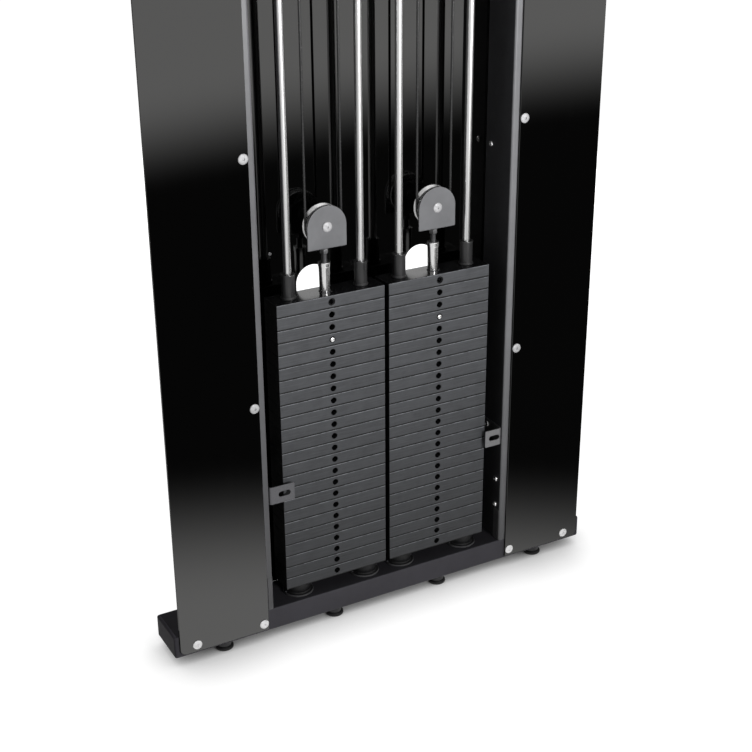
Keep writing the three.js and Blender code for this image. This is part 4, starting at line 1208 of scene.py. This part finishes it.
def rope(path, side_vector):
    path = [Vector(point) for point in path]
    side_vector = Vector(side_vector)
    bench_mesh = bmesh.new()
    rings, run = [], 0.0
    for i, point in enumerate(path):
        before, after = path[max(i - 1, 0)], path[min(i + 1, len(path) - 1)]
        along = (after - before).normalized()
        other = along.cross(side_vector).normalized()
        run += (point - path[i - 1]).length if i else 0.0
        twist = 2 * math.pi * run / LAY
        ring = []
        for k in range(ROPE_POINTS):
            turn = 2 * math.pi * k / ROPE_POINTS + twist
            r = ROPE_RADIUS * (1.0 if k % 2 == 0 else 0.96)
            ring.append(point + side_vector * r * math.cos(turn) + other * r * math.sin(turn))
        rings.append(ring_of(bench_mesh, ring))
    skinned(bench_mesh, rings)
    bench_mesh.faces.new(rings[0])
    bench_mesh.faces.new(rings[-1])
    return bench_mesh


def between(start, end):
    start, end = Vector(start), Vector(end)
    steps = max(2, int((end - start).length / ROPE_STEP))
    return [start.lerp(end, i / steps) for i in range(steps + 1)]


wire_rope = plain_finish("wire_rope", (shade((0.034, 0.034, 0.035)), shade((0.020, 0.020, 0.021))), (300, 3),
                         (0.35, 0.7), (0.18, 0.3), (2500, 1), (0.03, 0.4))
print("rope finish:", wire_rope.name)

# %% Run the cables
TRAVEL, WRAP_RADIUS = 800.0, 37
half_turn = [math.pi * i / 44 for i in range(45)]


def cable_piece(name, path, side_vector, node):
    piece = to_object(name, stood(rope(path, side_vector), in_frame), wire_rope)
    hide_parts(node)
    return piece


for side in SIDES:
    for strand in ("fixed", "running"):
        node = "%s_%s_strand" % (side, strand)
        (x, y, _), (low, top) = centre(node), reach(node)[2]
        piece = cable_piece("%s_%s_rope" % (side, strand), between((x, y, low), (x, y, top)), ACROSS, node)
        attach(piece, "cabinet")
        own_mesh(piece)
    x, y, z = centre(side + "_lift_wheel")
    under = [(x - WRAP_RADIUS * math.cos(a), y, z - WRAP_RADIUS * math.sin(a)) for a in half_turn]
    hang(side + "_wrap_rope", rope(under, BACK), wire_rope, [side + "_wheel_cable"],
         side + "_carriage")
    x, y, z = centre(side + "_top_wheel")
    over = [(x, y + WRAP_RADIUS * math.cos(a), z + WRAP_RADIUS * math.sin(a)) for a in half_turn]
    tail_y, tail_end = y - WRAP_RADIUS, reach(side + "_top_cable")[2][0]
    over += between((x, tail_y, z), (x, tail_y, tail_end))[1:]
    piece = cable_piece(side + "_pull_rope", over, ACROSS, side + "_top_cable")
    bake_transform(piece)
print("rope lay in mm:", LAY)

# %% [markdown]
# ## Cable ends
# Each cable ends in front of the tower in a rubber stop ball, a steel ferrule and an eye for a handle's hook. They
# are above the photograph's edge, so they follow common practice. The eye is a ring of round bar.

# %% Make the cable ends
BALL_RADIUS, EYE_RADIUS, EYE_BAR = 14, 13, 3.5


def bar_ring(radius, bar, sides=48, around=16):
    bench_mesh = bmesh.new()
    rings = []
    for turn in turns_of(sides):
        swung = [(bar * math.sin(swing), radius + bar * math.cos(swing)) for swing in turns_of(around)]
        rings.append(ring_of(bench_mesh, [(x, r * math.cos(turn), r * math.sin(turn)) for x, r in swung]))
    return skinned(bench_mesh, rings, closed=True)


def ball_arc(middle_z, start, step, count):
    turns = [start + i * step for i in range(count)]
    return [(BALL_RADIUS * math.sin(a), middle_z + BALL_RADIUS * math.cos(a)) for a in turns]


for side in SIDES:
    node = side + "_cable_end"
    (x, y, _), (low, top) = centre(node), reach(node)[2]
    ball_z, eye_z = top - BALL_RADIUS, low + EYE_RADIUS + EYE_BAR
    profile = [(0, top - 0.6), (2.9, top - 0.6)] + ball_arc(ball_z, 0.25, 0.132, 10)
    profile += [(14.25, ball_z + 0.8), (14.25, ball_z - 0.8)] + ball_arc(ball_z, 1.7, 0.135, 9)
    profile += [(5.2, ball_z - 13.2), (0, ball_z - 13.2)]
    hang(side + "_stop_ball", upright(node, profile, 56), black_rubber, [node], node)
    ferrule = [(0, ball_z - 12.8), (5, ball_z - 12.8), (5, eye_z + 17.4), (4.4, eye_z + 14.6), (3, eye_z + 13),
               (0, eye_z + 13)]
    eye = joined([upright(node, ferrule, 36), placed(bar_ring(EYE_RADIUS, EYE_BAR), (x, y, eye_z))])
    hang(side + "_eye", eye, bright_zinc, [node], node)
print("eye centre in mm:", round(eye_z, 1))

# %% [markdown]
# ## Cover brackets
# A front cover can close the bay, and two zinc brackets low on the posts hold it. Each is an angle folded from
# sheet, with a slot in its face and a bolt through its side. Slot and bolt hole are cut in the flat blank. The right
# one takes a lighter copy of the zinc than the left: painted light. Three more bolts show on the wall of each post.

# %% Make the brackets and their bolts
BRACKET_WALL, BRACKET_BEND = 3.0, 3.4
SLOT_START, SLOT_END, SLOT_HALF = 9.0, 34.5, 5.6
BOLT_INSET, BOLT_RISE = 12, 7.5
POST_BOLTS = ((75, 926), (23, 210), (23, 149))
# The right bracket's zinc is a lighter copy of the left one's: painted light.
bracket_zinc_by_light = {
    "left": zinc("left_bracket_zinc", (0.165, 0.165, 0.176), 0.42),
    "right": zinc("right_bracket_zinc", (0.29, 0.29, 0.3), 0.42),
}
for side, sign in SIDES.items():
    node = side + "_cover_bracket"
    across, back, high = reach(node)
    wall_x, free_x = sorted(across, key=abs, reverse=True)
    face, depth, middle_z = abs(wall_x - free_x), back[1] - back[0], middle(high)
    line = face - BRACKET_BEND - BRACKET_WALL
    far = line + (BRACKET_BEND + BRACKET_WALL / 2) * math.pi / 2 + depth - BRACKET_BEND - BRACKET_WALL
    slot = rounded_rectangle(middle_z - SLOT_HALF, middle_z + SLOT_HALF, SLOT_START, SLOT_END, SLOT_HALF - 0.01, 8)
    bolt_hole = round_hole(middle_z + BOLT_RISE, far - BOLT_INSET, 3.5, 20)
    outline = rounded_rectangle(high[0] + 1.5, high[1] - 1.5, 0, far, 2.2, 4)
    blank = cut_sheet(outline, [slot, bolt_hole], BRACKET_WALL, 0.35)
    angle = stood(fold(blank, line, BRACKET_BEND, BRACKET_WALL), lambda u, v, w: (free_x + sign * v, back[0] + w, u))
    hang(side + "_bracket", angle, bracket_zinc_by_light[side], [node])
    inner, bolt_y, bolt_z = wall_x - sign * BRACKET_WALL, back[1] - BOLT_INSET, middle_z + BOLT_RISE
    head = placed(button_head(6.2, 3.4, 4.0), (inner, bolt_y, bolt_z), (-sign, 0, 0))
    shank = drill_bit(3.2, (inner, bolt_y, bolt_z), (inner + sign * 8, bolt_y, bolt_z), 16)
    hang(side + "_bracket_bolt", joined([head, shank]), bright_pin)
    post_x = sign * min(abs(v) for v in reach(side + "_post")[0])
    post_bolts = [placed(button_head(5.8, 4.2, 3.4), (post_x, y, z), (-sign, 0, 0)) for y, z in POST_BOLTS]
    hang(side + "_post_bolts", joined(post_bolts), bright_pin)
print("pieces made:", len(made_pieces))

# %% [markdown]
# ## Measure and finish
# The box of the CAD model and the box of the dressed model are printed side by side, in millimetres. Blender
# must not change the object's size.

# %% Print the two boxes
visual_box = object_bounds()
sizes = {
    "cad_box": [[float(v) for v in corner] for corner in cad_box],
    "visual_box": [[float(v) for v in corner] for corner in visual_box],
}
for key, (low, high) in sizes.items():
    print(key, [round((b - a) / MM, 1) for a, b in zip(low, high)])
